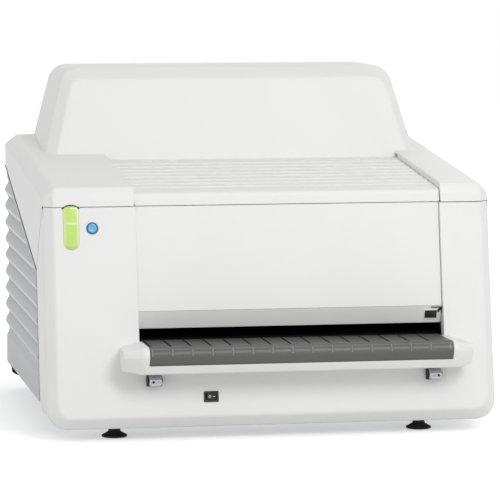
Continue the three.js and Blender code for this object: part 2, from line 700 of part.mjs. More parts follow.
// The shelf under the tray: a floor and a front lip, open above for the tray.
function shelf() {
  const root = faceY(SHELF_FOOT) + WALL / 2;
  const lipTop = TRAY_FOOT - FIT;
  const floor = SHELF_FOOT + WALL;
  return prismX([
    [trayFace(SHELF_FOOT, SHELF_STEP), SHELF_FOOT], [root, SHELF_FOOT], [root, floor],
    [trayFace(floor, SHELF_STEP - WALL), floor], [trayFace(lipTop, SHELF_STEP - WALL), lipTop],
    [trayFace(lipTop, SHELF_STEP), lipTop],
  ], BAY_OFFSET - TRAY_HALF - WING_FLAT, BAY_OFFSET + TRAY_HALF + WING_FLAT);
}

// A wing closes the end of the shelf and runs back into the column beside it.
function wing(side) {
  const points = [];
  const put = (x, y, z) => points.push(new THREE.Vector3(BAY_OFFSET + side * x, y, z));
  for (const x of [TRAY_HALF + FIT, TRAY_HALF + WING_FLAT]) {
    for (const [y, z] of trayRoll(TRAY_ROLL)) put(x, y, z);
    put(x, trayFace(SHELF_FOOT, SHELF_STEP), SHELF_FOOT);
    put(x, faceY(TRAY_TOP) + WALL / 2, TRAY_TOP);
    put(x, faceY(SHELF_FOOT) + WALL / 2, SHELF_FOOT);
  }
  const outer = TRAY_HALF + WING_REACH;
  const root = TRAY_HALF + WING_ROOT;
  const front = WING_SETBACK - TRAY_OVERHANG;
  const [top, foot] = [TRAY_TOP - WING_DROP, SHELF_FOOT + WING_FOOT_RISE];
  put(outer, front + WING_ROUND, top);
  put(outer, front, top - WING_ROUND);
  put(outer, front, TRAY_TOP - WING_TALL);
  put(outer, front + WING_FOOT_SETBACK, foot);
  put(root, faceY(top) + WALL / 2, top);
  put(root, faceY(foot) + WALL / 2, foot);
  return convex(points);
}

function topCover() {
  const hollow = bodySolid(WALL).add(hoodSolid(WALL, HOOD_FOOT - HOOD_OPEN_DROP));
  const whole = bodySolid(0).add(hoodSolid(0, HOOD_FOOT)).subtract(hollow);
  const lift = SEAM / 2;
  const zone = prismX([
    [-FAR, SEAM_HEIGHT + lift], [faceY(SEAM_HEIGHT) + BEVEL_DEPTH, SEAM_HEIGHT + lift],
    [seamY(VERTEX_HEIGHT), VERTEX_HEIGHT + lift], [SIDE_REAR_Y, REAR_SEAM + lift],
    [FAR, REAR_SEAM + lift], [FAR, FAR], [-FAR, FAR],
  ], -WIDTH, WIDTH);
  const left = BAY_OFFSET - LID_HALF - LID_GAP;
  const right = BAY_OFFSET + LID_HALF + LID_GAP;
  const deep = SEAM_HEIGHT - OVERRUN;
  const opening = prismX([
    [-FAR, deep], [hoodY(deep), deep], [hoodY(SILL_TOP), SILL_TOP], [hoodY(FAR), FAR], [-FAR, FAR],
  ], left, right);
  const arch = rod(ARCH_WIDTH / 2, 'y', -FAR, CREST_Y + WALL, LENS_X,
    SEAM_HEIGHT + ARCH_RISE - ARCH_WIDTH / 2);
  const cover = whole.intersect(zone).subtract(opening).subtract(arch);
  return join([
    cover, recessWall(left - WALL, left, left + LEDGE), recessWall(right, right + WALL, right - LEDGE),
    sill(left - WALL, right + WALL), ...hingeEars(),
  ]);
}

// The side of the lid's recess, with a ledge that the lid rests on.
function recessWall(x0, x1, ledgeEdge) {
  const front = faceY(SEAM_HEIGHT) + WALL;
  const under = (y) => lidZ(y) - LID_WALL - FIT;
  const ledgeFront = LID_CREASE_Y + LID_ROUND + OVERRUN;
  const wall = prismX([
    [front, SEAM_HEIGHT + SEAM / 2], [SILL_Y, lidZ(SILL_Y) - SILL_DROP],
    [SILL_Y + WALL, topZ(SILL_Y) - WALL / 2], [CREST_Y, topZ(CREST_Y) - WALL / 2],
    [front, FACE_TOP - WALL / 2],
  ], x0, x1);
  const ledge = prismX([
    [ledgeFront, under(ledgeFront) - LEDGE_WALL], [LEDGE_REAR, under(LEDGE_REAR) - LEDGE_WALL],
    [LEDGE_REAR, under(LEDGE_REAR)], [ledgeFront, under(ledgeFront)],
  ], Math.min(x0, ledgeEdge), Math.max(x1, ledgeEdge));
  return wall.add(ledge);
}

// The sill behind the lid and the foot of the hood's face above it.
function sill(x0, x1) {
  const high = topZ(hoodY(HOOD_FOOT)) + WALL;
  return prismX([
    [SILL_Y, SILL_TOP - SILL_DROP], [SILL_Y + WALL, SILL_TOP - SILL_DROP],
    [SILL_Y + WALL, SILL_TOP - WALL], [hoodY(SILL_TOP) + WALL, SILL_TOP - WALL],
    [hoodY(high) + WALL, high], [hoodY(high), high], [hoodY(SILL_TOP), SILL_TOP], [SILL_Y, SILL_TOP],
  ], x0, x1);
}

const hingeCentres = [BAY_OFFSET - HINGE_SPREAD, BAY_OFFSET + HINGE_SPREAD];
const EAR_START = BARREL_LENGTH / 2 + FIT;

// Two ears beside each lid barrel hold the hinge pin.
function hingeEars() {
  return hingeCentres.flatMap((x) => [-1, 1].map((side) => {
    const near = x + side * EAR_START;
    const far = x + side * (EAR_START + EAR_LENGTH);
    const [x0, x1] = [Math.min(near, far), Math.max(near, far)];
    const ear = block(x0, x1, HINGE_Y, SILL_Y + WALL / 2, HINGE_Z - BARREL, HINGE_Z + BARREL - FIT)
      .add(rod(BARREL, 'x', x0, x1, HINGE_Y, HINGE_Z));
    return ear.subtract(rod(HINGE_PIN + PIN_CLEARANCE, 'x', x0 - OVERRUN, x1 + OVERRUN, HINGE_Y, HINGE_Z));
  }));
}

function centreLid() {
  const x0 = BAY_OFFSET - LID_HALF;
  const x1 = BAY_OFFSET + LID_HALF;
  const foot = SEAM_HEIGHT + SEAM / 2;
  const face = (z) => faceY(z) + LID_FRONT_RECESS;
  const round = LID_CREASE - LID_ROUND;
  const plate = prismX([
    [face(foot), foot], [face(foot) + LID_WALL, foot], [face(round) + LID_WALL, round],
    [LID_CREASE_Y + LID_WALL, lidZ(LID_CREASE_Y) - LID_WALL], [LID_REAR, lidZ(LID_REAR) - LID_WALL],
    [LID_REAR, lidZ(LID_REAR)], [LID_CREASE_Y + LID_ROUND, lidZ(LID_CREASE_Y + LID_ROUND)],
    [(LID_CREASE_Y + face(round)) / 2, LID_CREASE - LID_ROUND / 4], [face(round), round],
  ], x0, x1);
  const grooves = Array.from({ length: LID_GROOVES }, (_, row) => {
    const y = LID_GROOVE_START + row * LID_GROOVE_PITCH;
    const [y0, y1] = [y - LID_GROOVE_WIDTH / 2, y + LID_GROOVE_WIDTH / 2];
    return prismX([
      [y0, lidZ(y0) - LID_GROOVE_DEPTH], [y1, lidZ(y1) - LID_GROOVE_DEPTH],
      [y1, lidZ(y1) + OVERRUN], [y0, lidZ(y0) + OVERRUN],
    ], x0 - OVERRUN, x1 + OVERRUN);
  });
  const notches = hingeCentres.flatMap((x) => [-1, 1].map((side) => {
    const near = x + side * (EAR_START - FIT);
    const far = x + side * (EAR_START + EAR_LENGTH + FIT);
    return block(Math.min(near, far), Math.max(near, far), LID_REAR - HINGE_NOTCH, LID_REAR + OVERRUN,
      HINGE_Z - OVERRUN * 2, HINGE_Z + OVERRUN * 2);
  }));
  const cut = [...grooves, ...notches].reduce((sum, tool) => sum.subtract(tool), plate);
  const barrels = hingeCentres.map((x) => rod(BARREL, 'x', x - BARREL_LENGTH / 2, x + BARREL_LENGTH / 2,
    HINGE_Y, HINGE_Z));
  return join([cut, ...barrels]).subtract(rod(HINGE_PIN + PIN_CLEARANCE, 'x',
    hingeCentres[0] - BARREL_LENGTH, hingeCentres[1] + BARREL_LENGTH, HINGE_Y, HINGE_Z));
}

const hingeRod = () => rod(HINGE_PIN, 'x', hingeCentres[0] - EAR_START - EAR_LENGTH,
  hingeCentres[1] + EAR_START + EAR_LENGTH, HINGE_Y, HINGE_Z);

// The ribbed side panel, drawn for the right: smooth at its foot, round ribs above, and a hem
// turned in under it that meets the base pan.
function sidePanel() {
  const inner = BODY_HALF - RIB_DEPTH - SIDE_PANEL_WALL + RIB_PROUD;
  const valley = BODY_HALF + RIB_PROUD - RIB_DEPTH;
  const start = RIB_FOOT;
  const profile = [
    [inner, -SIDE_PANEL_FOOT], [BODY_HALF, -SIDE_PANEL_FOOT], [BODY_HALF, start - RIB_PITCH / 2],
    [valley, start],
  ];
  for (let rib = 0; rib < RIB_COUNT; rib += 1) {
    for (let step = 1; step <= RIB_STEPS; step += 1) {
      const share = step / RIB_STEPS;
      profile.push([valley + RIB_DEPTH * Math.sin(Math.PI * share), start + (rib + share) * RIB_PITCH]);
    }
  }
  profile.push([valley, HEIGHT], [inner, HEIGHT]);
  const slab = toGeometry(prismY(profile, 0, SIDE_REAR_Y + OVERRUN))
    .rotateX(THREE.MathUtils.degToRad(RIB_TILT_DEG)).translate(0, -FIT, 0);
  const zone = prismX([
    [seamY(SIDE_PANEL_FOOT) + SEAM / 2, SIDE_PANEL_FOOT],
    [seamY(VERTEX_HEIGHT) + SEAM / 2, VERTEX_HEIGHT - SEAM / 2],
    [SIDE_REAR_Y - SEAM, diagonalZ(SIDE_REAR_Y - SEAM) - SEAM / 2],
    [SIDE_REAR_Y - SEAM, SIDE_PANEL_FOOT],
  ], 0, WIDTH);
  const hem = block(PAN_HALF + FIT, inner + SIDE_PANEL_WALL / 2, seamY(SIDE_PANEL_FOOT) + SEAM,
    SIDE_REAR_Y - SEAM, SIDE_PANEL_FOOT, SIDE_PANEL_FOOT + SIDE_HEM);
  return toSolid(slab).intersect(zone).add(hem);
}

function rearCover() {
  const zone = block(-WIDTH, WIDTH, SIDE_REAR_Y, FAR, 0, REAR_SEAM - SEAM / 2);
  const cuts = Array.from({ length: VENT_COUNT }, (_, column) => {
    const x = FAN_X + (column - (VENT_COUNT - 1) / 2) * VENT_PITCH;
    return block(x - VENT_WIDTH / 2, x + VENT_WIDTH / 2, REAR_Y - OVERRUN * 2, FAR,
      FAN_HEIGHT - VENT_HEIGHT / 2, FAN_HEIGHT + VENT_HEIGHT / 2);
  });
  cuts.push(block(INLET_X - INLET_WIDTH / 2 - FIT, INLET_X + INLET_WIDTH / 2 + FIT, REAR_Y - OVERRUN * 2, FAR,
    INLET_HEIGHT - INLET_TALL / 2 - FIT, INLET_HEIGHT + INLET_TALL / 2 + FIT));
  cuts.push(block(PORT_X - PORT_WIDTH / 2 - FIT, PORT_X + PORT_WIDTH / 2 + FIT, REAR_Y - OVERRUN * 2, FAR,
    INLET_HEIGHT - PORT_TALL / 2 - FIT, INLET_HEIGHT + PORT_TALL / 2 + FIT));
  return cuts.reduce((sum, cut) => sum.subtract(cut), bodyShell.intersect(zone));
}

function frontPanel() {
  const x0 = BAY_LEFT + PANEL_GAP;
  const x1 = BAY_RIGHT - PANEL_GAP;
  const top = SEAM_HEIGHT - SEAM / 2;
  const slab = (from, to, z0, z1) => [
    [faceY(z0) + from, z0], [faceY(z0) + to, z0], [faceY(z1) + to, z1], [faceY(z1) + from, z1],
  ];
  const plate = prismX(slab(PANEL_RECESS, PANEL_RECESS + PANEL_WALL, BAND_TOP, top), x0, x1);
  const deep = slab(PANEL_RECESS, PANEL_RECESS + PANEL_RETURN, BAND_TOP, top);
  return join([plate, prismX(deep, x0, x0 + PANEL_WALL), prismX(deep, x1 - PANEL_WALL, x1)]);
}

const BAND_RUN = BAND_SLANT / (BAND_TOP - BAND_FOOT);
const bandFace = (z) => faceY(BAND_TOP) + PANEL_RECESS + (BAND_TOP - z) * BAND_RUN;
const WINDOW_X = BAY_RIGHT - PANEL_GAP - WINDOW_FROM_END - WINDOW_WIDTH / 2;
const WINDOW_Z = (BAND_TOP + BAND_FOOT) / 2;

function windowBlock(half, tall, y0, y1) {
  return block(WINDOW_X - half, WINDOW_X + half, y0, y1, WINDOW_Z - tall / 2, WINDOW_Z + tall / 2);
}

// The light grey band slants back under the panel, with a flange up behind the panel.
function slotBand() {
  const top = BAND_TOP - FIT;
  const plate = prismX([
    [bandFace(top), top], [bandFace(BAND_FOOT), BAND_FOOT], [bandFace(BAND_FOOT) + PANEL_WALL, BAND_FOOT],
    [bandFace(BAND_FOOT) + PANEL_WALL, top + BAND_FLANGE], [bandFace(BAND_FOOT), top + BAND_FLANGE],
    [bandFace(BAND_FOOT), top],
  ], BAY_LEFT + PANEL_GAP + PANEL_WALL + FIT, BAY_RIGHT - PANEL_GAP - PANEL_WALL - FIT);
  return plate.subtract(windowBlock(WINDOW_WIDTH / 2 + FIT, WINDOW_HEIGHT + FIT * 2, 0, FAR));
}

// The interlock switch at the band's right end: a frame round a sunk window.
function interlockSwitch() {
  const y0 = bandFace(WINDOW_Z) - WINDOW_PROUD;
  return windowBlock(WINDOW_WIDTH / 2, WINDOW_HEIGHT, y0, bandFace(BAND_FOOT) + PANEL_WALL * 2).subtract(
    windowBlock(WINDOW_WIDTH / 2 - WINDOW_FRAME, WINDOW_HEIGHT - WINDOW_FRAME * 2, 0, y0 + WINDOW_PROUD * 2));
}

// The tray: a grooved flat top that rolls over into a short face leaning back below.
function cassetteTray() {
  const section = [[TRAY_REAR, TRAY_SEAT], [TRAY_REAR, TRAY_TOP], ...trayRoll(TRAY_ROLL),
    [trayFace(TRAY_FOOT, 0), TRAY_FOOT], [trayFace(TRAY_FOOT, -TRAY_WALL), TRAY_FOOT],
    ...trayRoll(TRAY_ROLL - TRAY_WALL).reverse()];
  const left = BAY_OFFSET - TRAY_HALF;
  const tray = prismX(section, left, BAY_OFFSET + TRAY_HALF);
  const grooves = Array.from({ length: GROOVE_COUNT }, (_, column) => {
    const x = left + GROOVE_START + column * GROOVE_PITCH;
    return block(x - GROOVE_WIDTH / 2, x + GROOVE_WIDTH / 2, ROLL_Y, TRAY_REAR + OVERRUN,
      TRAY_TOP - GROOVE_DEPTH, TRAY_TOP + OVERRUN);
  });
  return grooves.reduce((sum, groove) => sum.subtract(groove), tray);
}

function statusLens() {
  const shape = new THREE.Shape(lensOutline(0).map(([a, b]) => new THREE.Vector2(a, b)));
  return toSolid(new THREE.ExtrudeGeometry(shape, { depth: LENS_PROUD + LENS_DEEP, bevelEnabled: false })
    .translate(0, 0, -LENS_DEEP));
}

const HOLDER_FACE = -LENS_DEEP - FIT - HOLDER_MARGIN;

// A black holder behind the lens carries the lamps and the button's switch.
function lampHolder() {
  const right = BUTTON_X - LENS_X + RING_RADIUS + HOLDER_MARGIN;
  return toSolid(blockGeometry(-LENS_RADIUS - HOLDER_MARGIN, right, -LENS_HALF - HOLDER_MARGIN,
    LENS_HALF - SEAM, HOLDER_FACE - HOLDER_DEPTH, HOLDER_FACE)).add(
    toSolid(blockGeometry(-LENS_RADIUS, LENS_RADIUS, -LENS_HALF + LENS_RADIUS, LENS_HALF - SEAM,
      HOLDER_FACE - HOLDER_DEPTH, -LENS_DEEP - FIT)));
}

// The button's stem ends its travel against the switch in the holder.
function eraseButton() {
  const stem = -HOLDER_FACE - BUTTON_TRAVEL - FIT;
  const length = stem + BUTTON_PROUD;
  return toSolid(rodGeometry(BUTTON_RADIUS, length, 'z').translate(0, 0, (BUTTON_PROUD - stem) / 2));
}

function buttonRing() {
  const tube = rodGeometry(RING_RADIUS - RING_FLANGE, WALL * 2, 'z');
  const lip = rodGeometry(RING_RADIUS, RING_PROUD, 'z').translate(0, 0, RING_PROUD / 2 + FIT);
  return toSolid(tube.translate(0, 0, RING_PROUD - WALL + FIT)).add(toSolid(lip))
    .subtract(toSolid(rodGeometry(BUTTON_RADIUS + FIT, WALL * 4, 'z')));
}

function rockerHousing() {
  const [w, h] = [ROCKER_FRAME_WIDTH / 2, ROCKER_FRAME_HEIGHT / 2];
  const wall = ROCKER_FRAME_WALL;
  const lip = blockGeometry(-w, w, -h, h, FIT, FIT + ROCKER_FRAME_PROUD);
  const can = blockGeometry(-w + wall, w - wall, -h + wall, h - wall, -ROCKER_DEEP, FIT + ROCKER_FRAME_PROUD);
  const hollow = blockGeometry(-w + wall * 2, w - wall * 2, -h + wall * 2, h - wall * 2,
    -ROCKER_SWING - ROCKER_PIVOT, OVERRUN);
  return toSolid(lip).add(toSolid(can)).subtract(toSolid(hollow));
}

// The rocker turns about a pivot along the face; its face has two flats that meet at the middle.
function powerRocker() {
  const half = ROCKER_FRAME_WIDTH / 2 - ROCKER_FRAME_WALL * 2 - ROCKER_GAP;
  const tall = ROCKER_FRAME_HEIGHT - ROCKER_FRAME_WALL * 4 - FIT * 2;
  const drop = half * Math.tan(THREE.MathUtils.degToRad(ROCKER_TILT_DEG * 2));
  const shape = new THREE.Shape([
    [-half, ROCKER_PIVOT], [-half, -ROCKER_PIVOT + drop / 2], [0, -ROCKER_PIVOT],
    [half, -ROCKER_PIVOT], [half, ROCKER_PIVOT - drop], [0, ROCKER_PIVOT],
  ].map(([a, b]) => new THREE.Vector2(a, b)));
  return toSolid(new THREE.ExtrudeGeometry(shape, { depth: tall, bevelEnabled: false })
    .rotateX(Math.PI / 2).translate(0, tall / 2, 0).translate(0, 0, -FIT));
}

const latchCentres = [BAY_OFFSET - LATCH_SPREAD, BAY_OFFSET + LATCH_SPREAD];

// A dark base with two ears; the chromed lever turns on the pin between them.
function latchBase() {
  const half = LATCH_BASE_WIDTH / 2;
  const tall = LATCH_BASE_HEIGHT / 2;
  const reach = LATCH_PIN_OUT + LATCH_PIN * 2;
  const plate = toSolid(blockGeometry(-half, half, -tall, tall, FIT, LATCH_BASE_WALL));
  const ears = [[-half, -half + LATCH_EAR], [half - LATCH_EAR, half]].map(([x0, x1]) => toSolid(
    blockGeometry(x0, x1, -LATCH_PIN * 2, tall, FIT, reach)));
  const pin = toSolid(rodGeometry(LATCH_PIN, half * 2, 'x').translate(0, 0, LATCH_PIN_OUT));
  return join([plate, ...ears, pin]);
}

function trayLatch() {
  const half = LATCH_BASE_WIDTH / 2 - LATCH_EAR - FIT;
  const barrel = toSolid(rodGeometry(LATCH_RADIUS, half * 2, 'x').translate(0, 0, LATCH_PIN_OUT));
  const arm = toSolid(blockGeometry(-half, half, -LATCH_ARM, 0, LATCH_PIN_OUT, LATCH_PIN_OUT + LATCH_RADIUS));
  const bore = toSolid(rodGeometry(LATCH_PIN + PIN_CLEARANCE, LATCH_BASE_WIDTH * 2, 'x')
    .translate(0, 0, LATCH_PIN_OUT));
  return barrel.add(arm).subtract(bore);
}

// The pan carries the feet in four nuts welded to its floor.
function basePan() {
  const floor = PAN_TOP - SHEET;
  const flange = (x0, x1) => block(x0, x1, PAN_FRONT, PAN_REAR, floor, floor + PAN_FLANGE);
  const pan = join([
    block(-PAN_HALF, PAN_HALF, PAN_FRONT, PAN_REAR, floor, PAN_TOP),
    flange(-PAN_HALF, -PAN_HALF + SHEET), flange(PAN_HALF - SHEET, PAN_HALF),
  ]);
  const nuts = footPlaces().map(([x, y]) => rod(NUT_RADIUS, 'z', floor, PAN_TOP + NUT_HIGH, x, y, NUT_SIDES));
  return footPlaces().reduce((sum, [x, y]) => sum.subtract(
    rod(FOOT_STEM + FIT, 'z', 0, floor + PAN_FLANGE, x, y)), join([pan, ...nuts]));
}

function chassisPlate(side) {
  const inner = side < 0 ? CHASSIS_LEFT : CHASSIS_RIGHT;
  const outer = inner + side * CHASSIS_SHEET;
  const [x0, x1] = [Math.min(inner, outer), Math.max(inner, outer)];
  const foot = PAN_TOP + FIT;
  const plate = prismX([
    [CHASSIS_FRONT, foot], [CHASSIS_REAR, foot], [CHASSIS_REAR, CHASSIS_REAR_TOP],
    [CHASSIS_STEP_Y + CHASSIS_STEP_RUN, CHASSIS_REAR_TOP], [CHASSIS_STEP_Y, CHASSIS_TOP],
    [CHASSIS_FRONT, CHASSIS_TOP],
  ], x0, x1);
  const flangeEdge = outer + side * CHASSIS_FOOT_FLANGE;
  const flange = block(Math.min(inner, flangeEdge), Math.max(inner, flangeEdge), CHASSIS_FRONT, CHASSIS_REAR,
    foot, foot + CHASSIS_SHEET);
  const holes = shaftPlaces().map(([y, z]) => rod(SHAFT_HOLE, 'x', x0 - OVERRUN, x1 + OVERRUN, y, z));
  const slot = CLAMP_TONGUE / 2 + FIT;
  holes.push(block(x0 - OVERRUN, x1 + OVERRUN, CLAMP_Y - slot, CLAMP_Y + slot,
    CLAMP_LOW - CLAMP_TRAVEL - FIT, CLAMP_LOW + CLAMP_HEIGHT + FIT));
  if (side > 0) {
    holes.push(rod(MOTOR_BOSS + FIT, 'x', x0 - OVERRUN, x1 + OVERRUN, MOTOR_Y, MOTOR_HEIGHT));
  }
  return holes.reduce((sum, hole) => sum.subtract(hole), plate.add(flange));
}

const shaftPlaces = () => [ENTRY_Y, EXIT_Y].flatMap((y) => [[y, DRIVE_Z], [y, PINCH_Z]]);

// The lower guide carries the cassette on from the tray at the tray's own height.
function lowerGuide() {
  const x0 = CHASSIS_LEFT + FIT;
  const x1 = CHASSIS_RIGHT - FIT;
  const front = TRAY_REAR + FIT;
  const top = TRAY_TOP - FIT;
  const flange = (a, b) => block(a, b, CHASSIS_FRONT, GUIDE_REAR, TRAY_TOP - GUIDE_FLANGE, top);
  return join([
    block(BAY_OFFSET - TRAY_HALF, BAY_OFFSET + TRAY_HALF, front, GUIDE_REAR, top - SHEET, top),
    block(x0, x1, CHASSIS_FRONT, GUIDE_REAR, top - SHEET, top),
    flange(x0, x0 + SHEET), flange(x1 - SHEET, x1),
  ]);
}

function upperGuide() {
  const x0 = CHASSIS_LEFT + FIT;
  const x1 = CHASSIS_RIGHT - FIT;
  const foot = TRAY_TOP + SLOT_HEIGHT;
  const flange = (a, b) => block(a, b, UPPER_GUIDE_FRONT, GUIDE_REAR, foot, foot + GUIDE_FLANGE);
  return join([
    block(x0, x1, UPPER_GUIDE_FRONT, GUIDE_REAR, foot, foot + SHEET),
    flange(x0, x0 + SHEET), flange(x1 - SHEET, x1),
  ]);
}

const CLAMP_LOW = TRAY_TOP + SLOT_HEIGHT + FIT;

// The clamp bar drops onto the cassette; its tongues slide in slots in the chassis plates.
function clampBar() {
  const half = CHASSIS_HALF - FIT;
  const reach = CHASSIS_HALF + CLAMP_REACH;
  return block(BAY_OFFSET - half, BAY_OFFSET + half, CLAMP_Y - CLAMP_DEPTH / 2, CLAMP_Y + CLAMP_DEPTH / 2,
    CLAMP_LOW, CLAMP_LOW + CLAMP_HEIGHT).add(
    block(BAY_OFFSET - reach, BAY_OFFSET + reach, CLAMP_Y - CLAMP_TONGUE / 2, CLAMP_Y + CLAMP_TONGUE / 2,
      CLAMP_LOW, CLAMP_LOW + CLAMP_HEIGHT));
}

function roller(radius, y, z) {
  const reach = CHASSIS_HALF + CHASSIS_SHEET + SHAFT_END;
  return rod(radius, 'x', BAY_OFFSET - ROLLER_HALF, BAY_OFFSET + ROLLER_HALF, y, z).add(
    rod(SHAFT_RADIUS, 'x', BAY_OFFSET - reach, BAY_OFFSET + reach, y, z, SHAFT_SIDES));
}

const drivenRoller = (y) => roller(DRIVE_RADIUS, y, DRIVE_Z).add(pulley(PULLEY_RADIUS, y, DRIVE_Z));

// A bearing block outside a chassis plate carries the two shafts of a roller pair.
function bearingBlock(side, y) {
  const face = (side < 0 ? CHASSIS_LEFT : CHASSIS_RIGHT) + side * (CHASSIS_SHEET + FIT);
  const far = face + side * BEARING_WALL;
  const [x0, x1] = [Math.min(face, far), Math.max(face, far)];
  const bores = [DRIVE_Z, PINCH_Z].map((z) => rod(SHAFT_RADIUS + SHAFT_CLEARANCE, 'x',
    x0 - OVERRUN, x1 + OVERRUN, y, z, SHAFT_SIDES));
  return bores.reduce((sum, bore) => sum.subtract(bore), block(x0, x1, y - BEARING_HALF, y + BEARING_HALF,
    DRIVE_Z - BEARING_HALF, PINCH_Z + BEARING_HALF));
}

const PULLEY_START = CHASSIS_RIGHT + CHASSIS_SHEET + PULLEY_OUT;

// A pulley with a lip on each side of the belt.
function pulley(radius, y, z) {
  const end = PULLEY_START + PULLEY_WIDTH;
  return join([
    rod(radius, 'x', PULLEY_START, end, y, z),
    rod(radius + PULLEY_LIP, 'x', PULLEY_START, PULLEY_START + PULLEY_LIP_WALL, y, z),
    rod(radius + PULLEY_LIP, 'x', end - PULLEY_LIP_WALL, end, y, z),
    rod(SHAFT_RADIUS, 'x', CHASSIS_RIGHT, end, y, z, SHAFT_SIDES),
  ]);
}

// The tangent points of a loop round three pulleys, drawn counter-clockwise as [y, z] points.
function loopRound(wheels, grow) {
  const points = [];
  wheels.forEach(([y, z, radius], i) => {
    const turnTo = (from, to) => {
      const run = Math.hypot(to[0] - from[0], to[1] - from[1]);
      const heading = Math.atan2(to[1] - from[1], to[0] - from[0]);
      return heading - Math.acos((from[2] - to[2]) / run);
    };
    const before = wheels[(i + wheels.length - 1) % wheels.length];
    const start = turnTo(before, wheels[i]);
    let end = turnTo(wheels[i], wheels[(i + 1) % wheels.length]);
    while (end < start) end += Math.PI * 2;
    for (let step = 0; step <= ROUND_SIDES / 2; step += 1) {
      const turn = start + ((end - start) * step) / (ROUND_SIDES / 2);
      points.push([y + (radius + grow) * Math.cos(turn), z + (radius + grow) * Math.sin(turn)]);
    }
  });
  return points;
}

function driveBelt() {
  const wheels = [
    [MOTOR_Y, MOTOR_HEIGHT, MOTOR_PULLEY_RADIUS], [EXIT_Y, DRIVE_Z, PULLEY_RADIUS],
    [ENTRY_Y, DRIVE_Z, PULLEY_RADIUS],
  ];
  const x0 = PULLEY_START + (PULLEY_WIDTH - BELT_WIDTH) / 2;
  return prismX(loopRound(wheels, FIT + BELT_WALL), x0, x0 + BELT_WIDTH)
    .subtract(prismX(loopRound(wheels, FIT), x0 - OVERRUN, x0 + BELT_WIDTH + OVERRUN));
}

function transportMotor() {
  const face = CHASSIS_RIGHT - FIT;
  const half = MOTOR_SIZE / 2;
  const cut = half - MOTOR_CORNER;
  const outline = [[-cut, -half], [cut, -half], [half, -cut], [half, cut], [cut, half], [-cut, half],
    [-half, cut], [-half, -cut]].map(([a, b]) => [MOTOR_Y + a, MOTOR_HEIGHT + b]);
  return join([
    prismX(outline, face - MOTOR_LENGTH, face),
    rod(MOTOR_BOSS, 'x', face, face + MOTOR_BOSS_HIGH, MOTOR_Y, MOTOR_HEIGHT),
  ]).subtract(rod(SHAFT_RADIUS + FIT, 'x', face - MOTOR_LENGTH / 2, face + OVERRUN, MOTOR_Y, MOTOR_HEIGHT));
}

// The motor's pulley and its shaft turn together.
function motorPulley() {
  const start = CHASSIS_RIGHT - FIT - MOTOR_LENGTH / 2 + FIT;
  return pulley(MOTOR_PULLEY_RADIUS, MOTOR_Y, MOTOR_HEIGHT).add(
    rod(SHAFT_RADIUS, 'x', start, PULLEY_START + PULLEY_WIDTH, MOTOR_Y, MOTOR_HEIGHT, SHAFT_SIDES));
}

// A bar with an open underside that shines on the plate path.
function eraserHousing() {
  const foot = PATH_Z + SLOT_HEIGHT / 2 + ERASER_STANDOFF;
  const [x0, x1] = [BAY_OFFSET - ERASER_HALF, BAY_OFFSET + ERASER_HALF];
  const [y0, y1] = [ERASER_Y - ERASER_DEPTH / 2, ERASER_Y + ERASER_DEPTH / 2];
  const box = block(x0, x1, y0, y1, foot, foot + ERASER_HEIGHT).subtract(
    block(x0 + SHEET, x1 - SHEET, y0 + SHEET, y1 - SHEET, foot - OVERRUN, foot + ERASER_HEIGHT - SHEET));
  const tabs = [[CHASSIS_LEFT + FIT, x0 + SHEET], [x1 - SHEET, CHASSIS_RIGHT - FIT]].map(([a, b]) => block(
    a, b, y0, y1, foot + ERASER_HEIGHT - SHEET, foot + ERASER_HEIGHT));
  return join([box, ...tabs]);
}

function eraserLamps() {
  const top = PATH_Z + SLOT_HEIGHT / 2 + ERASER_STANDOFF + ERASER_HEIGHT - SHEET - FIT;
  const pitch = (LAMP_BAR_HALF * 2) / LED_COUNT;
  const leds = Array.from({ length: LED_COUNT }, (_, i) => {
    const x = BAY_OFFSET - LAMP_BAR_HALF + (i + 1 / 2) * pitch;
    return block(x - LED_SIZE / 2, x + LED_SIZE / 2, ERASER_Y - LED_SIZE / 2, ERASER_Y + LED_SIZE / 2,
      top - LAMP_BAR_HIGH - LED_HIGH, top - LAMP_BAR_HIGH);
  });
  return join([block(BAY_OFFSET - LAMP_BAR_HALF, BAY_OFFSET + LAMP_BAR_HALF, ERASER_Y - LAMP_BAR_DEPTH / 2,
    ERASER_Y + LAMP_BAR_DEPTH / 2, top - LAMP_BAR_HIGH, top), ...leds]);
}

const BRIDGE_X0 = CHASSIS_LEFT - CHASSIS_SHEET;
const BRIDGE_X1 = CHASSIS_RIGHT + CHASSIS_SHEET;

function opticsBridge() {
  const flange = (x0, x1) => block(x0, x1, CHASSIS_STEP_Y + CHASSIS_STEP_RUN, BRIDGE_REAR,
    CHASSIS_REAR_TOP + FIT, BRIDGE_HEIGHT);
  const tube = rod(TUBE_RADIUS + TUBE_RIM, 'z', CHASSIS_REAR_TOP, BRIDGE_HEIGHT + OVERRUN,
    BAY_OFFSET, TUBE_Y);
  return join([
    block(BRIDGE_X0, BRIDGE_X1, BRIDGE_FRONT, BRIDGE_REAR, BRIDGE_HEIGHT - SHEET, BRIDGE_HEIGHT),
    flange(BRIDGE_X0, BRIDGE_X0 + BRIDGE_FLANGE), flange(BRIDGE_X1 - BRIDGE_FLANGE, BRIDGE_X1),
  ]).subtract(block(BAY_OFFSET - BEAM_SLOT_HALF, BAY_OFFSET + BEAM_SLOT_HALF, SCAN_Y - BEAM_SLOT,
    SCAN_Y - BEAM_SLOT / 2, CHASSIS_REAR_TOP, BRIDGE_HEIGHT + OVERRUN)).subtract(tube);
}

const DECK = BRIDGE_HEIGHT + FIT;
const TUBE_Y = SCAN_Y + LIGHT_STANDOFF + LIGHT_WALL / 2;

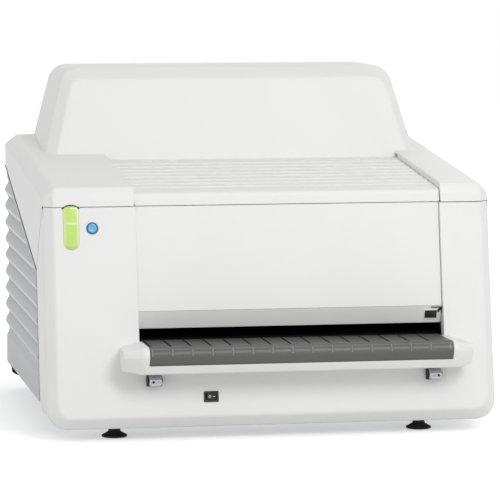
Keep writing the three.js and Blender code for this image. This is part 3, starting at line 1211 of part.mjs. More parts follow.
function scanHousing() {
  const [x0, x1] = [BAY_OFFSET - HOUSING_HALF, BAY_OFFSET + HOUSING_HALF];
  const high = HOUSING_TOP;
  const lean = (high - DECK) * HOOD_LEAN;
  const outer = prismX([[HOUSING_FRONT, DECK], [HOUSING_REAR, DECK], [HOUSING_REAR, high],
    [HOUSING_FRONT + lean, high]], x0, x1);
  const inner = prismX([
    [HOUSING_FRONT + SHEET, DECK - OVERRUN], [HOUSING_REAR - SHEET, DECK - OVERRUN],
    [HOUSING_REAR - SHEET, high - SHEET], [HOUSING_FRONT + lean + SHEET, high - SHEET],
  ], x0 + SHEET, x1 - SHEET);
  return outer.subtract(inner);
}

function laserModule() {
  const half = LASER_LENGTH / 2;
  const centre = BAY_OFFSET - HOUSING_HALF + LASER_INSET;
  return rod(LASER_RADIUS, 'x', centre - half, centre + half, BEAM_Y, BEAM_HEIGHT).add(
    block(centre - half / 2, centre + half / 2, BEAM_Y - LASER_FOOT, BEAM_Y + LASER_FOOT,
      DECK, BEAM_HEIGHT));
}

const POLYGON_Y = BEAM_Y - MIRROR_RADIUS / 2;
const POLYGON_X = BAY_OFFSET + POLYGON_MOTOR_RADIUS * 2 + TUBE_RADIUS;

function polygonMotor() {
  const top = DECK + POLYGON_MOTOR_HIGH;
  return rod(POLYGON_MOTOR_RADIUS, 'z', DECK, top, POLYGON_X, POLYGON_Y).add(
    rod(MIRROR_BORE - FIT, 'z', top, top + MIRROR_HIGH + FIT * 2, POLYGON_X, POLYGON_Y));
}

function polygonMirror() {
  const foot = DECK + POLYGON_MOTOR_HIGH + FIT;
  const top = foot + MIRROR_HIGH;
  return rod(MIRROR_RADIUS, 'z', foot, top, POLYGON_X, POLYGON_Y, MIRROR_FACETS)
    .subtract(rod(MIRROR_BORE, 'z', foot - OVERRUN, top + OVERRUN, POLYGON_X, POLYGON_Y));
}

// A long tilted mirror with a block at each end, over the slot for the beam.
function foldMirror() {
  const glass = blockGeometry(-FOLD_HALF, FOLD_HALF, -FOLD_WALL / 2, FOLD_WALL / 2, 0, FOLD_TALL)
    .rotateX(THREE.MathUtils.degToRad(FOLD_DEG))
    .translate(BAY_OFFSET, FOLD_Y + FOLD_TALL / 2, DECK + FOLD_WALL);
  const blocks = [-1, 1].map((side) => block(
    BAY_OFFSET + side * FOLD_HALF - FOLD_BLOCK / 2, BAY_OFFSET + side * FOLD_HALF + FOLD_BLOCK / 2,
    FOLD_Y - FOLD_TALL / 4, FOLD_Y + FOLD_TALL * 3 / 4, DECK, DECK + FOLD_TALL * 3 / 4));
  return join([toSolid(glass), ...blocks]);
}

// A clear wedge that gathers light along the scan line and leads it up to the tube.
function lightGuide() {
  const foot = PATH_Z + GUIDE_LOW;
  const y0 = SCAN_Y + LIGHT_STANDOFF;
  return prismY([
    [BAY_OFFSET - LIGHT_HALF, foot], [BAY_OFFSET + LIGHT_HALF, foot],
    [BAY_OFFSET + LIGHT_TOP_HALF, LIGHT_TOP], [BAY_OFFSET - LIGHT_TOP_HALF, LIGHT_TOP],
  ], y0, y0 + LIGHT_WALL);
}

function photomultiplier() {
  const foot = LIGHT_TOP + FIT;
  const rim = BRIDGE_HEIGHT + FIT;
  return rod(TUBE_RADIUS, 'z', foot, foot + TUBE_LENGTH + (rim - LIGHT_TOP) / 2, BAY_OFFSET, TUBE_Y).add(
    rod(TUBE_RADIUS + TUBE_RIM * 2, 'z', rim, rim + TUBE_RIM, BAY_OFFSET, TUBE_Y));
}

// The curved sheet behind the exit rollers turns the plate up into the hood.
function rearChute() {
  const z0 = PATH_Z - NIP * 4;
  const outer = arcPoints(CHUTE_START, z0 + CHUTE_BEND, CHUTE_BEND, -90, 0, CORNER_STEPS * 2);
  const inner = arcPoints(CHUTE_START, z0 + CHUTE_BEND, CHUTE_BEND - SHEET, 0, -90, CORNER_STEPS * 2);
  const rear = CHUTE_START + CHUTE_BEND;
  const sheet = prismX([...outer, [rear, z0 + CHUTE_BEND * 2], [rear - CHUTE_BEND, CHUTE_TOP],
    [rear - CHUTE_BEND - SHEET, CHUTE_TOP], [rear - SHEET, z0 + CHUTE_BEND * 2], ...inner],
  BAY_OFFSET - CHUTE_HALF, BAY_OFFSET + CHUTE_HALF);
  const tabs = [
    [CHASSIS_LEFT + FIT, BAY_OFFSET - CHUTE_HALF + SHEET],
    [BAY_OFFSET + CHUTE_HALF - SHEET, CHASSIS_RIGHT - FIT],
  ].map(([a, b]) => block(a, b, CHUTE_START - CHUTE_BRACKET, CHUTE_START + SHEET, z0, z0 + SHEET));
  return join([sheet, ...tabs]);
}

function powerSupply() {
  const foot = PAN_TOP + FIT;
  const right = CHASSIS_LEFT - CHASSIS_SHEET - CHASSIS_FOOT_FLANGE - FIT;
  const left = SHEET + SUPPLY_MARGIN - PAN_HALF;
  const box = block(left, right, SUPPLY_FRONT, SUPPLY_FRONT + SUPPLY_LENGTH, foot, foot + SUPPLY_HEIGHT);
  const slots = Array.from({ length: SUPPLY_SLOTS }, (_, i) => {
    const y = SUPPLY_FRONT + ((i + 1) / (SUPPLY_SLOTS + 1)) * SUPPLY_LENGTH;
    return block(left + WALL * 2, right - WALL * 2, y - SUPPLY_SLOT_WIDTH / 2, y + SUPPLY_SLOT_WIDTH / 2,
      foot + SUPPLY_HEIGHT - WALL, foot + SUPPLY_HEIGHT + OVERRUN);
  });
  return slots.reduce((sum, slot) => sum.subtract(slot), box);
}

// Each part on the board: its start and end along and up the board, and its height in standoffs.
const BOARD_PART_SHARES = [
  [0.1, 0.3, 0.15, 0.42, 1], [0.4, 0.62, 0.2, 0.6, 0.6], [0.7, 0.92, 0.1, 0.3, 2.4],
  [0.15, 0.35, 0.6, 0.85, 1.8], [0.7, 0.9, 0.55, 0.9, 1.2],
];

// The board stands off the left chassis plate, with its parts facing out.
function mainBoard() {
  const face = CHASSIS_LEFT - CHASSIS_SHEET - FIT;
  const x1 = face - STANDOFF;
  const x0 = x1 - BOARD_WALL;
  const along = (share) => BOARD_FRONT + share * BOARD_LENGTH;
  const up = (share) => BOARD_FOOT + share * BOARD_HEIGHT;
  const lumps = BOARD_PART_SHARES.map(([y0, y1, z0, z1, high]) => block(
    x0 - high * STANDOFF, x0 + BOARD_WALL / 2, along(y0), along(y1), up(z0), up(z1)));
  const posts = [0, 1].flatMap((a) => [0, 1].map((b) => rod(STANDOFF_RADIUS, 'x', x1, face,
    BOARD_FRONT + STANDOFF_INSET + a * (BOARD_LENGTH - STANDOFF_INSET * 2),
    BOARD_FOOT + STANDOFF_INSET + b * (BOARD_HEIGHT - STANDOFF_INSET * 2), ROUND_SIDES / 2)));
  return join([block(x0, x1, along(0), along(1), up(0), up(1)), ...lumps, ...posts]);
}

const FAN_REAR = REAR_Y - WALL - FIT;

function fanFrame() {
  const half = FAN_SIZE / 2;
  const front = FAN_REAR - FAN_DEPTH;
  const square = (w, h, rear) => block(FAN_X - w, FAN_X + w, front, rear, FAN_HEIGHT - h, FAN_HEIGHT + h);
  const frame = square(half, half, FAN_REAR).subtract(
    rod(FAN_BORE, 'y', front - OVERRUN, FAN_REAR + OVERRUN, FAN_X, FAN_HEIGHT));
  const spoke = (w, h) => square(w, h, front + FAN_SPOKE_WALL);
  return join([frame, spoke(half - FIT, FAN_SPOKE / 2), spoke(FAN_SPOKE / 2, half - FIT),
    rod(FAN_HUB, 'y', front, front + FAN_SPOKE_WALL, FAN_X, FAN_HEIGHT)]);
}

function fanRotor() {
  const front = FAN_REAR - FAN_DEPTH + FAN_SPOKE_WALL + FIT;
  const rear = FAN_REAR - FAN_SPOKE_WALL;
  const blades = Array.from({ length: FAN_BLADES }, (_, i) => {
    const half = ((rear - front) * FAN_BLADE_SHARE) / 2;
    const blade = blockGeometry(-FAN_BLADE_WALL / 2, FAN_BLADE_WALL / 2, -half, half, FAN_HUB / 2, FAN_TIP);
    blade.rotateZ(THREE.MathUtils.degToRad(FAN_TWIST_DEG)).rotateY((i * 2 * Math.PI) / FAN_BLADES);
    return toSolid(blade.translate(FAN_X, (front + rear) / 2, FAN_HEIGHT));
  });
  return join([rod(FAN_HUB, 'y', front, rear, FAN_X, FAN_HEIGHT), ...blades])
    .intersect(rod(FAN_TIP, 'y', front, rear, FAN_X, FAN_HEIGHT, ROUND_SIDES * 2));
}

// The mains inlet: a flange inside the cover, a socket and three pins.
function powerInlet() {
  const y0 = REAR_Y - INLET_DEEP;
  const [w, h] = [INLET_WIDTH / 2, INLET_TALL / 2];
  const box = block(INLET_X - w, INLET_X + w, y0, REAR_Y, INLET_HEIGHT - h, INLET_HEIGHT + h).subtract(
    block(INLET_X - INLET_SOCKET_WIDTH / 2, INLET_X + INLET_SOCKET_WIDTH / 2, y0 + INLET_FLANGE,
      REAR_Y + OVERRUN, INLET_HEIGHT - INLET_SOCKET_TALL / 2, INLET_HEIGHT + INLET_SOCKET_TALL / 2));
  const wall = REAR_Y - WALL - FIT;
  const flange = block(INLET_X - w - INLET_FLANGE, INLET_X + w + INLET_FLANGE, wall - INLET_FLANGE, wall,
    INLET_HEIGHT - h - INLET_FLANGE, INLET_HEIGHT + h + INLET_FLANGE).subtract(
    block(INLET_X - w + FIT, INLET_X + w - FIT, y0, REAR_Y, INLET_HEIGHT - h + FIT, INLET_HEIGHT + h - FIT));
  const pins = [-1, 0, 1].map((place) => rod(INLET_PIN, 'y', y0, REAR_Y - INLET_FLANGE * 2,
    INLET_X + place * INLET_PIN_SPREAD, INLET_HEIGHT, ROUND_SIDES / 2));
  return join([box, flange, ...pins]);
}

function dataPort() {
  const y0 = REAR_Y - PORT_DEEP;
  const [w, h] = [PORT_WIDTH / 2, PORT_TALL / 2];
  const wall = PORT_WALL;
  const inner = REAR_Y - WALL - FIT;
  const can = block(PORT_X - w, PORT_X + w, y0, REAR_Y, INLET_HEIGHT - h, INLET_HEIGHT + h);
  const flange = block(PORT_X - w - wall, PORT_X + w + wall, inner - wall, inner, INLET_HEIGHT - h - wall,
    INLET_HEIGHT + h + wall);
  return can.add(flange).subtract(block(PORT_X - w + wall, PORT_X + w - wall, y0 + wall, REAR_Y + OVERRUN,
    INLET_HEIGHT - h + wall, INLET_HEIGHT + h - wall));
}

function footPlaces() {
  return [[-FOOT_X, FOOT_FRONT_Y], [FOOT_X, FOOT_FRONT_Y], [-FOOT_X, FOOT_REAR_Y], [FOOT_X, FOOT_REAR_Y]];
}

function levellingFoot() {
  const profile = [
    [0, 0], [FOOT_RADIUS - FOOT_RIM / 2, 0], [FOOT_RADIUS, FOOT_RIM / 2], [FOOT_RADIUS, FOOT_RIM],
    [FOOT_NECK, FOOT_DOME], [FOOT_NECK, BODY_FOOT - FIT], [FOOT_STEM, BODY_FOOT - FIT],
    [FOOT_STEM, FOOT_STEM_TOP], [0, FOOT_STEM_TOP],
  ].map(([r, z]) => new THREE.Vector2(r, z));
  return toSolid(new THREE.LatheGeometry(profile, ROUND_SIDES).rotateX(Math.PI / 2));
}

// The whole
const footHoles = join(footPlaces().map(([x, y]) => rod(FOOT_STEM + FIT, 'z', 0, PAN_TOP + OVERRUN, x, y)));
add('front_frame', frontFrame().subtract(footHoles), WHITE);
add('top_cover', topCover(), WHITE);
add('rear_cover', rearCover(), PANEL_GREY);
const ribbed = sidePanel();
add('side_panel_right', ribbed, PANEL_GREY);
add('side_panel_left', mirrored(ribbed), PANEL_GREY);
add('base_pan', basePan(), STEEL);
add('front_panel', frontPanel(), WHITE);
add('slot_band', slotBand(), BAND_GREY);
add('interlock_switch', interlockSwitch(), BLACK);
add('cassette_tray', cassetteTray(), TRAY_GREY);
add('service_lid', centreLid(), WHITE);
add('lid_hinge_rod', hingeRod(), STEEL);
seatOnFace(add('status_lens', statusLens(), LENS_GREEN), LENS_X, LENS_CENTRE);
seatOnFace(add('lamp_holder', lampHolder(), BLACK), LENS_X, LENS_CENTRE);
seatOnFace(add('erase_button', eraseButton(), BUTTON_BLUE), BUTTON_X, BUTTON_HEIGHT);
seatOnFace(add('button_ring', buttonRing(), RING_BLUE), BUTTON_X, BUTTON_HEIGHT);
seatOnFace(add('rocker_housing', rockerHousing(), BLACK), ROCKER_X, ROCKER_HEIGHT);
seatOnFace(add('power_rocker', powerRocker(), BLACK), ROCKER_X, ROCKER_HEIGHT);
['left', 'right'].forEach((side, i) => {
  seatOnFace(add(`latch_base_${side}`, latchBase(), BLACK), latchCentres[i], LATCH_HEIGHT);
  seatOnFace(add(`tray_latch_${side}`, trayLatch(), CHROME), latchCentres[i], LATCH_HEIGHT);
});
add('chassis_left', chassisPlate(-1), STEEL);
add('chassis_right', chassisPlate(1), STEEL);
add('lower_guide', lowerGuide(), BLACK);
add('upper_guide', upperGuide(), BLACK);
add('clamp_bar', clampBar(), ALUMINIUM);
add('entry_drive_roller', drivenRoller(ENTRY_Y), RUBBER);
add('exit_drive_roller', drivenRoller(EXIT_Y), RUBBER);
add('entry_pinch_roller', roller(PINCH_RADIUS, ENTRY_Y, PINCH_Z), RUBBER);
add('exit_pinch_roller', roller(PINCH_RADIUS, EXIT_Y, PINCH_Z), RUBBER);
[['entry', ENTRY_Y], ['exit', EXIT_Y]].forEach(([place, y]) => {
  add(`${place}_bearing_left`, bearingBlock(-1, y), BRASS);
  add(`${place}_bearing_right`, bearingBlock(1, y), BRASS);
});
add('motor_pulley', motorPulley(), ALUMINIUM);
add('drive_belt', driveBelt(), RUBBER);
add('transport_motor', transportMotor(), BLACK);
add('eraser_housing', eraserHousing(), ALUMINIUM);
add('eraser_lamps', eraserLamps(), NYLON);
add('optics_bridge', opticsBridge(), STEEL);
add('scan_housing', scanHousing(), BLACK);
add('laser_module', laserModule(), ALUMINIUM);
add('polygon_motor', polygonMotor(), BLACK);
add('polygon_mirror', polygonMirror(), MIRROR);
add('fold_mirror', foldMirror(), MIRROR);
add('light_guide', lightGuide(), CLEAR);
add('photomultiplier', photomultiplier(), BLACK);
add('rear_chute', rearChute(), STEEL);
add('power_supply', powerSupply(), ALUMINIUM);
add('main_board', mainBoard(), BOARD_GREEN);
add('fan_frame', fanFrame(), BLACK);
add('fan_rotor', fanRotor(), BLACK);
add('power_inlet', powerInlet(), BLACK);
add('data_port', dataPort(), ALUMINIUM);
['foot_front_left', 'foot_front_right', 'foot_rear_left', 'foot_rear_right'].forEach((name, i) => {
  const [x, y] = footPlaces()[i];
  add(name, levellingFoot(), BLACK).position.set(x, y, 0);
});

scanner.position.y = (TRAY_OVERHANG - REAR_Y) / 2;

export default scanner;
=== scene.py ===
"""Dresses the tabletop phosphor plate scanner: rounded covers, ribbed sides, fittings and finishes.

Everything is in metres, +X right, +Y back, +Z up, from the middle of the footprint on the table. Only the
outlines and profiles of small fittings are drawn in millimetres.
"""
import json
from math import asin, atan, atan2, copysign, cos, degrees, inf, pi, radians, sin, sqrt, tan, tau

import bmesh
import bpy
from mathutils import Matrix, Vector


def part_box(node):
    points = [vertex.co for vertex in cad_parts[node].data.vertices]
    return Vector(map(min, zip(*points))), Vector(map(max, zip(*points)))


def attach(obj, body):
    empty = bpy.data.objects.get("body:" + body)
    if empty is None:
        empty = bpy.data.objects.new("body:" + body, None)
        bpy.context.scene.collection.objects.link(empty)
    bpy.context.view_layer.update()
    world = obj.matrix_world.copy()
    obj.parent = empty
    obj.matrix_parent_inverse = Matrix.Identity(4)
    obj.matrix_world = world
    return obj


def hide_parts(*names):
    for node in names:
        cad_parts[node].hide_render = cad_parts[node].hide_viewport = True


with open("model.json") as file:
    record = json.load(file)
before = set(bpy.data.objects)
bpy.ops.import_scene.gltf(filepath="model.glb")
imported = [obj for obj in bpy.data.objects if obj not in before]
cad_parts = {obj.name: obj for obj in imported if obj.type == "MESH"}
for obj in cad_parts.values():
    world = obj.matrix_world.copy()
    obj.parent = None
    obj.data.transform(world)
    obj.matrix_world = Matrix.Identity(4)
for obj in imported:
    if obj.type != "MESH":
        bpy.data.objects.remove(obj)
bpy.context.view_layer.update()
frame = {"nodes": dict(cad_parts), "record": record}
MM = 0.001

# The leaning front face, the line of the side seams behind it, and the bay between the two columns
LEAN = radians(10)
FACE_FOOT = Vector((0, -289.5, 38)) * MM
SEAM_BEHIND_FACE = 112 * MM
BAY_LEFT = -205 * MM
BAY_RIGHT = 265 * MM

# Seams: the gap along a ribbed panel; and the top cover's, which falls to the panel's vertex behind the corner
SEAM = 4.2 * MM
COVER_SEAM = 351 * MM
CORNER_DEPTH = 16 * MM

# Side panels, and their ribs from a foot line that sinks to the rear. The last five are: two powers that shape a
# rib's wave; how many pitches under the first rib the wall falls from flush to a valley; the power that closes
# the grid up towards the rear; and how far its rear edge goes round
PANEL_FOOT = 49 * MM
PANEL_VERTEX = 247 * MM
PANEL_REAR = 317.7 * MM
PANEL_VALLEY = 340.5 * MM
PANEL_FLUSH = 345 * MM
PANEL_WALL = 4.5 * MM
DIAGONAL = tan(radians(15.9))
RIB_TILT = radians(0.5)
RIB_PITCH = 27.3 * MM
RIB_DEPTH = 6 * MM
RIB_FOOT = 100.5 * MM
REAR_ROUND = 11 * MM
VALLEY_SHARE = 0.06
RIB_FULLER_FOOT = 0.94
RIB_SHARPER = 1.35
FOOT_FADE = (-0.55, -0.05)
GRID_CLOSER_REAR = 1.6
ROUND_MOST = 0.93

# The plain rim under the sloping seam: how fast it falls to the valleys, and where the ribs begin and are whole
RIM_FALL = 26 * MM
RIM_PLAIN = 10 * MM
RIM_END = 24 * MM

# Roundings of the moulded covers: their widths; the share of a face's edge that one may take, unless that edge
# runs straight on; and the angle in degrees from which an edge too short for one is a crease
SOFT_EDGE = 3.2 * MM
CRISP_EDGE = 0.7 * MM
LEAST_EDGE = 0.15 * MM
OPENING_EDGE = 5 * MM
CREST_EDGE = 6 * MM
HOOD_CORNER_EDGE = 0.3 * MM
ROOM_SHARE = 0.45
STRAIGHT_ON = radians(150)
CREASED_FROM = 30
REAR_COVER_HALF = 336.5 * MM

# Outer faces of the front panel and the lid: where they are, and where they close the gap beside them
CLOSED_GAPS = ((-203.8 * MM, -204.6 * MM), (263.8 * MM, 264.5 * MM), (-206 * MM, -206.7 * MM))

# The band over the slot
BAND_SHEET = 4 * MM
BAND_FLANGE = 16 * MM

# Cassette tray: its section from the front, and its grooves, ribs and beads
TRAY_FRONT = -350.5 * MM
TRAY_TOP = 150 * MM
TRAY_FOOT = 123 * MM
TRAY_REAR = -253.5 * MM
TRAY_WALL = 4 * MM
TRAY_ROLL = 12 * MM
ROLL_STEPS = 18
TRAY_LEAN = radians(28)
TRAY_LEFT = -200.5 * MM
TRAY_RIGHT = 260.5 * MM
TRAY_END = 0.6 * MM
GROOVE_START = 3.5 * MM
GROOVE_PITCH = 30.15 * MM
GROOVE_WIDTH = 2.4 * MM
GROOVE_FLANK = 0.4 * MM
GROOVE_DEPTH = 2.8 * MM
GROOVE_COUNT = 15
RIB_HEIGHT = 1.2 * MM
RIB_HALF = 1.9 * MM
RIB_CLEAR = 2.6 * MM
# Half width of the painted highlight along each rib on the roll
RIB_HIGHLIGHT_HALF = 1.1 * MM
RIB_FOOT_Z = 138 * MM
HIGH_BEAD_Y = -338.7 * MM
LOW_BEAD_Y = -346 * MM
# Half width of the painted highlight along each bead
BEAD_HIGHLIGHT_HALF = 0.45 * MM

# Ridges over the lid, which slopes up from its crease
RIDGE_COUNT = 8
RIDGE_FIRST = -189.3 * MM
RIDGE_PITCH = 30.75 * MM
LID_SLOPE = radians(5.5)
LID_CREASE_Y = -222.5 * MM
LID_CREASE_Z = 371.5 * MM

# Fittings: the lens with its painted highlight line, the button, the rocker, the latches, the rear cover's
# screws and the feet. The lens's half width and each keyhole's x from its latch's middle are in millimetres
LENS_X = -303.5 * MM
LENS_FOOT = 299.5 * MM
LENS_TOP = 350.5 * MM
LENS_HIGHLIGHT = 327.5 * MM
LENS_HALF = 10.4
BUTTON_PLACE = (-271.7 * MM, 319.5 * MM)
ROCKER_PLACE = (-98.5 * MM, 66.6 * MM)
LATCH_HEIGHT = 92 * MM
LATCHES = (("left", -185 * MM, -3.4), ("right", 245 * MM, 4.4))
SCREW_X = 316 * MM
SCREW_HEIGHTS = (64 * MM, 352 * MM)
FOOT_SIDES = (("left", -237 * MM), ("right", 237 * MM))
FOOT_ENDS = (("front", -221.5 * MM), ("rear", 282.5 * MM))

# Camera fitted to the photograph
CAMERA_PLACE = (-0.8759, -4.8734, 0.7439)
CAMERA_PITCH = radians(5.593)
CAMERA_YAW = radians(10.334)
CAMERA_LENS = 224.8

# Light: each lamp's place, width in metres and power in watts, and what they aim at; the sky's strength at the
# horizon and overhead; half the floor's width, where its own glow starts to grow, and that glow, which lights
# nothing else, near the scanner and away from it
LAMPS = (("key", (0.8, -3.1, 2.1), 1.3, 41), ("fill", (-3.2, 0.1, 0.35), 2.4, 8),
         ("rear", (1.7, 2.7, 1.0), 1.4, 10))
LAMPS_AIM = Vector((0, 0, 0.25))
SKY_LOW = 0.87
SKY_HIGH = 0.64
FLOOR_HALF = 9
GLOW_START = 0.45
GLOW_NEAR = 0.455
GLOW_FAR = 0.7

# Painted shade and light on the ribbed sides' grey, from a rib's foot to the next: painted shade in the
# valley, a painted highlight on the lower flank
RIB_PAINTED_SHADING = ((0.09, "#A6A6A7"), (0.16, "#B6B6B7"), (0.24, "#E8E8E9"), (0.32, "#E8E8E9"), (0.4, "#D2D2D3"),
              (0.48, "#BEBEBF"), (0.84, "#C0C0C1"))


def face_y(height):
    """How far back the front face lies at a height."""
    return FACE_FOOT.y + (height - FACE_FOOT.z) * tan(LEAN)


# Where a side panel's sloping edge starts
VERTEX_Y = face_y(PANEL_VERTEX) + SEAM_BEHIND_FACE + SEAM / 2


def on_face(x, height):
    """Stands a piece on the front face: its X right, its Y up the face, its Z out of it."""
    outward = Vector((0, -cos(LEAN), sin(LEAN)))
    turn = Matrix((Vector((1, 0, 0)), Vector((0, sin(LEAN), cos(LEAN))), outward))
    return Matrix.Translation((x, face_y(height), height)) @ turn.transposed().to_4x4()


def shifted(x, y, z, turn=0.0):
    """A move in millimetres, after a turn about Y."""
    return Matrix.Translation((x * MM, y * MM, z * MM)) @ Matrix.Rotation(turn, 4, "Y")


# Finishes

def linear(code):
    """A linear colour from an sRGB hex value."""
    parts = [int(code[i:i + 2], 16) / 255 for i in (1, 3, 5)]
    return [c / 12.92 if c <= 0.04045 else ((c + 0.055) / 1.055) ** 2.4 for c in parts] + [1]


def add(tree, kind, links=(), **settings):
    """Adds a node with its settings, and values or sockets for its inputs."""
    node = tree.nodes.new(kind)
    for key, value in settings.items():
        setattr(node, key, value)
    for socket, value in dict(links).items():
        if isinstance(value, bpy.types.NodeSocket):
            tree.links.new(value, node.inputs[socket])
        else:
            node.inputs[socket].default_value = value
    return node


def sums(tree, known, *steps):
    """Adds a chain of Math nodes to the known values: each step is its name, its operation and its terms."""
    for name, operation, *terms in steps:
        links = {slot: known.get(term, term) for slot, term in enumerate(terms)}
        known[name] = add(tree, "ShaderNodeMath", links, operation=operation).outputs["Value"]


def finish(name, colour, roughness, **shader):
    """A material with its shader, and the object's own coordinates for its patterns."""
    material = bpy.data.materials.new(name)
    material.use_nodes = True
    tree = material.node_tree
    surface = tree.nodes["Principled BSDF"]
    surface.inputs["Base Color"].default_value = linear(colour)
    surface.inputs["Roughness"].default_value = roughness
    for socket, value in shader.items():
        surface.inputs[socket.replace("_", " ")].default_value = value
    place = add(tree, "ShaderNodeTexCoord").outputs["Object"]
    return material, tree, surface, place


def shade(tree, surface, pattern, dark, light):
    """Lets a pattern move the base colour between two close shades."""
    ramp = add(tree, "ShaderNodeMix", {"Factor": pattern, "A": linear(dark), "B": linear(light)},
               data_type="RGBA")
    tree.links.new(ramp.outputs["Result"], surface.inputs["Base Color"])


def emboss(tree, surface, pattern, height, strength=1.0):
    """Raises the surface by a pattern, height in metres."""
    bump = add(tree, "ShaderNodeBump", {"Height": pattern, "Distance": height, "Strength": strength})
    tree.links.new(bump.outputs["Normal"], surface.inputs["Normal"])


def vary_gloss(tree, surface, pattern, least, most, start=0.0, end=1.0):
    """Lets a pattern, from its start to its end, move the roughness."""
    gloss = add(tree, "ShaderNodeMapRange", {"Value": pattern, "From Min": start, "From Max": end,
                                             "To Min": least, "To Max": most})
    tree.links.new(gloss.outputs["Result"], surface.inputs["Roughness"])


def overlay(tree, surface, share, colour):
    """Lays another colour over the base colour by a share, which the node keeps between 0 and 1."""
    under = surface.inputs["Base Color"].links[0].from_socket
    mixed = add(tree, "ShaderNodeMix", {"Factor": share, "A": under, "B": colour}, data_type="RGBA")
    tree.links.new(mixed.outputs["Result"], surface.inputs["Base Color"])


def opened(material):
    """A material's tree, its shader, and the object's own X, Y and Z as known values."""
    tree = material.node_tree
    place = add(tree, "ShaderNodeTexCoord").outputs["Object"]
    axes = add(tree, "ShaderNodeSeparateXYZ", {"Vector": place}).outputs
    return tree, tree.nodes["Principled BSDF"], {axis: axes[axis] for axis in "XYZ"}


def count_ribs(tree, known, tilt, foot, pitch):
    """How many ribs up a known depth and height on a side panel lie, and their share of the next rib."""
    sums(tree, known,
         ("tilt sine", "SINE", tilt),
         ("tilt cosine", "COSINE", tilt),
         ("behind foot", "SUBTRACT", "depth", FACE_FOOT.y),
         ("sunk", "MULTIPLY", "behind foot", "tilt sine"),
         ("turned height", "MULTIPLY", "height", "tilt cosine"),
         ("level", "SUBTRACT", "turned height", "sunk"),
         ("over ribs' foot", "SUBTRACT", "level", foot),
         ("ribs up", "DIVIDE", "over ribs' foot", pitch),
         ("share of rib", "FRACT", "ribs up"))


def fade_rim(tree, known, vertex, vertex_y):
    """How far a known depth and height lie below the sloping seam, and how whole the ribs are there."""
    sums(tree, known,
         ("behind vertex", "SUBTRACT", "depth", vertex_y),
         ("seam height", "MULTIPLY_ADD", "behind vertex", DIAGONAL, vertex),
         ("below seam", "SUBTRACT", "seam height", "height"))
    whole = add(tree, "ShaderNodeMapRange", {
        "Value": known["below seam"], "From Min": RIM_PLAIN, "From Max": RIM_END}, interpolation_type="SMOOTHSTEP")
    known["ribs there"] = whole.outputs["Result"]


def moulded(name, dark, light, roughness, grain=1.6):
    """Injection moulded ABS with a spark-eroded grain. The real grain, about 0.3 mm, is too fine
    to show, so it is drawn at a few times that. Faint flow shades run through it."""
    material, tree, surface, place = finish(name, light, roughness, IOR=1.52)
    flow = add(tree, "ShaderNodeTexNoise", {"Vector": place, "Scale": 7.0, "Detail": 2.0})
    shade(tree, surface, flow.outputs["Fac"], dark, light)
    pits = add(tree, "ShaderNodeTexNoise", {"Vector": place, "Scale": 1 / (grain * MM), "Detail": 2.0,
                                            "Roughness": 0.6}).outputs["Fac"]
    emboss(tree, surface, pits, 0.02 * MM, 0.12)
    vary_gloss(tree, surface, pits, roughness - 0.05, roughness + 0.06, 0.3, 0.7)
    return material


def tray_plastic(name="tray_grey_moulded_abs"):
    """Grey moulded ABS, with a painted highlight on its ribs at the roll and its beads, and painted shade in its
    grooves.
    """
    material = moulded(name, "#525250", "#5C5C5A", 0.4, 2.4)
    tree, surface, known = opened(material)
    sums(tree, known,
         ("from first", "SUBTRACT", "X", TRAY_LEFT + GROOVE_START),
         ("in pitches", "DIVIDE", "from first", GROOVE_PITCH),
         ("away", "PINGPONG", "in pitches", 0.5),
         ("on rib", "LESS_THAN", "away", RIB_HIGHLIGHT_HALF / GROOVE_PITCH),
         ("below beads", "LESS_THAN", "Y", LOW_BEAD_Y),
         ("above face", "GREATER_THAN", "Z", RIB_FOOT_Z),
         ("on roll", "MULTIPLY", "below beads", "above face"),
         ("highlit", "MULTIPLY", "on rib", "on roll"),
         ("on top", "GREATER_THAN", "Z", TRAY_TOP - TRAY_ROLL / 2))
    for bead_y in (HIGH_BEAD_Y, LOW_BEAD_Y):
        sums(tree, known,
             ("on bead", "COMPARE", "Y", bead_y, BEAD_HIGHLIGHT_HALF),
             ("bead highlight", "MULTIPLY", "on bead", "on top"),
             ("highlit", "MAXIMUM", "highlit", "bead highlight"))
    sums(tree, known,
         ("highlight share", "MULTIPLY", "highlit", 0.8),
         ("sunk", "SUBTRACT", TRAY_TOP - 0.2 * MM, "Z"),
         ("sunk share", "DIVIDE", "sunk", 1.2 * MM),
         ("behind roll", "GREATER_THAN", "Y", TRAY_FRONT + TRAY_ROLL + 0.4 * MM),
         ("groove shade", "MULTIPLY", "sunk share", "behind roll"))
    # Painted shade in the grooves, darker the deeper the surface sinks below the top
    overlay(tree, surface, known["groove shade"], linear("#1C1C1B"))
    # Painted highlight on the ribs at the roll and on the two beads
    overlay(tree, surface, known["highlight share"], linear("#868684"))
    return material


def ribbed_plastic(name="grey_moulded_abs"):
    """Grey moulded ABS of the ribbed sides, with painted shade in each valley's upper corner and a painted
    highlight on the flank above it."""
    material = moulded(name, "#BABABB", "#C4C4C5", 0.55)
    tree, surface, known = opened(material)
    known.update(depth=known["Y"], height=known["Z"])
    count_ribs(tree, known, RIB_TILT, RIB_FOOT, RIB_PITCH)
    fade_rim(tree, known, PANEL_VERTEX, VERTEX_Y)
    sums(tree, known,
         ("above flat", "GREATER_THAN", "ribs up", 0.0),
         ("on a side", "LESS_THAN", "depth", PANEL_REAR + 0.3 * MM),
         ("on ribs", "MULTIPLY", "above flat", "on a side"),
         ("ribbed", "MULTIPLY", "on ribs", "ribs there"))
    # The ramp paints shade into each valley and a highlight onto the flank above it
    ramp = add(tree, "ShaderNodeValToRGB", {"Fac": known["share of rib"]})
    stops = ramp.color_ramp.elements
    stops[0].color = stops[1].color = linear("#AEAEAF")
    for position, painted_tone in RIB_PAINTED_SHADING:
        stops.new(position).color = linear(painted_tone)
    overlay(tree, surface, known["ribbed"], ramp.outputs["Color"])
    return material


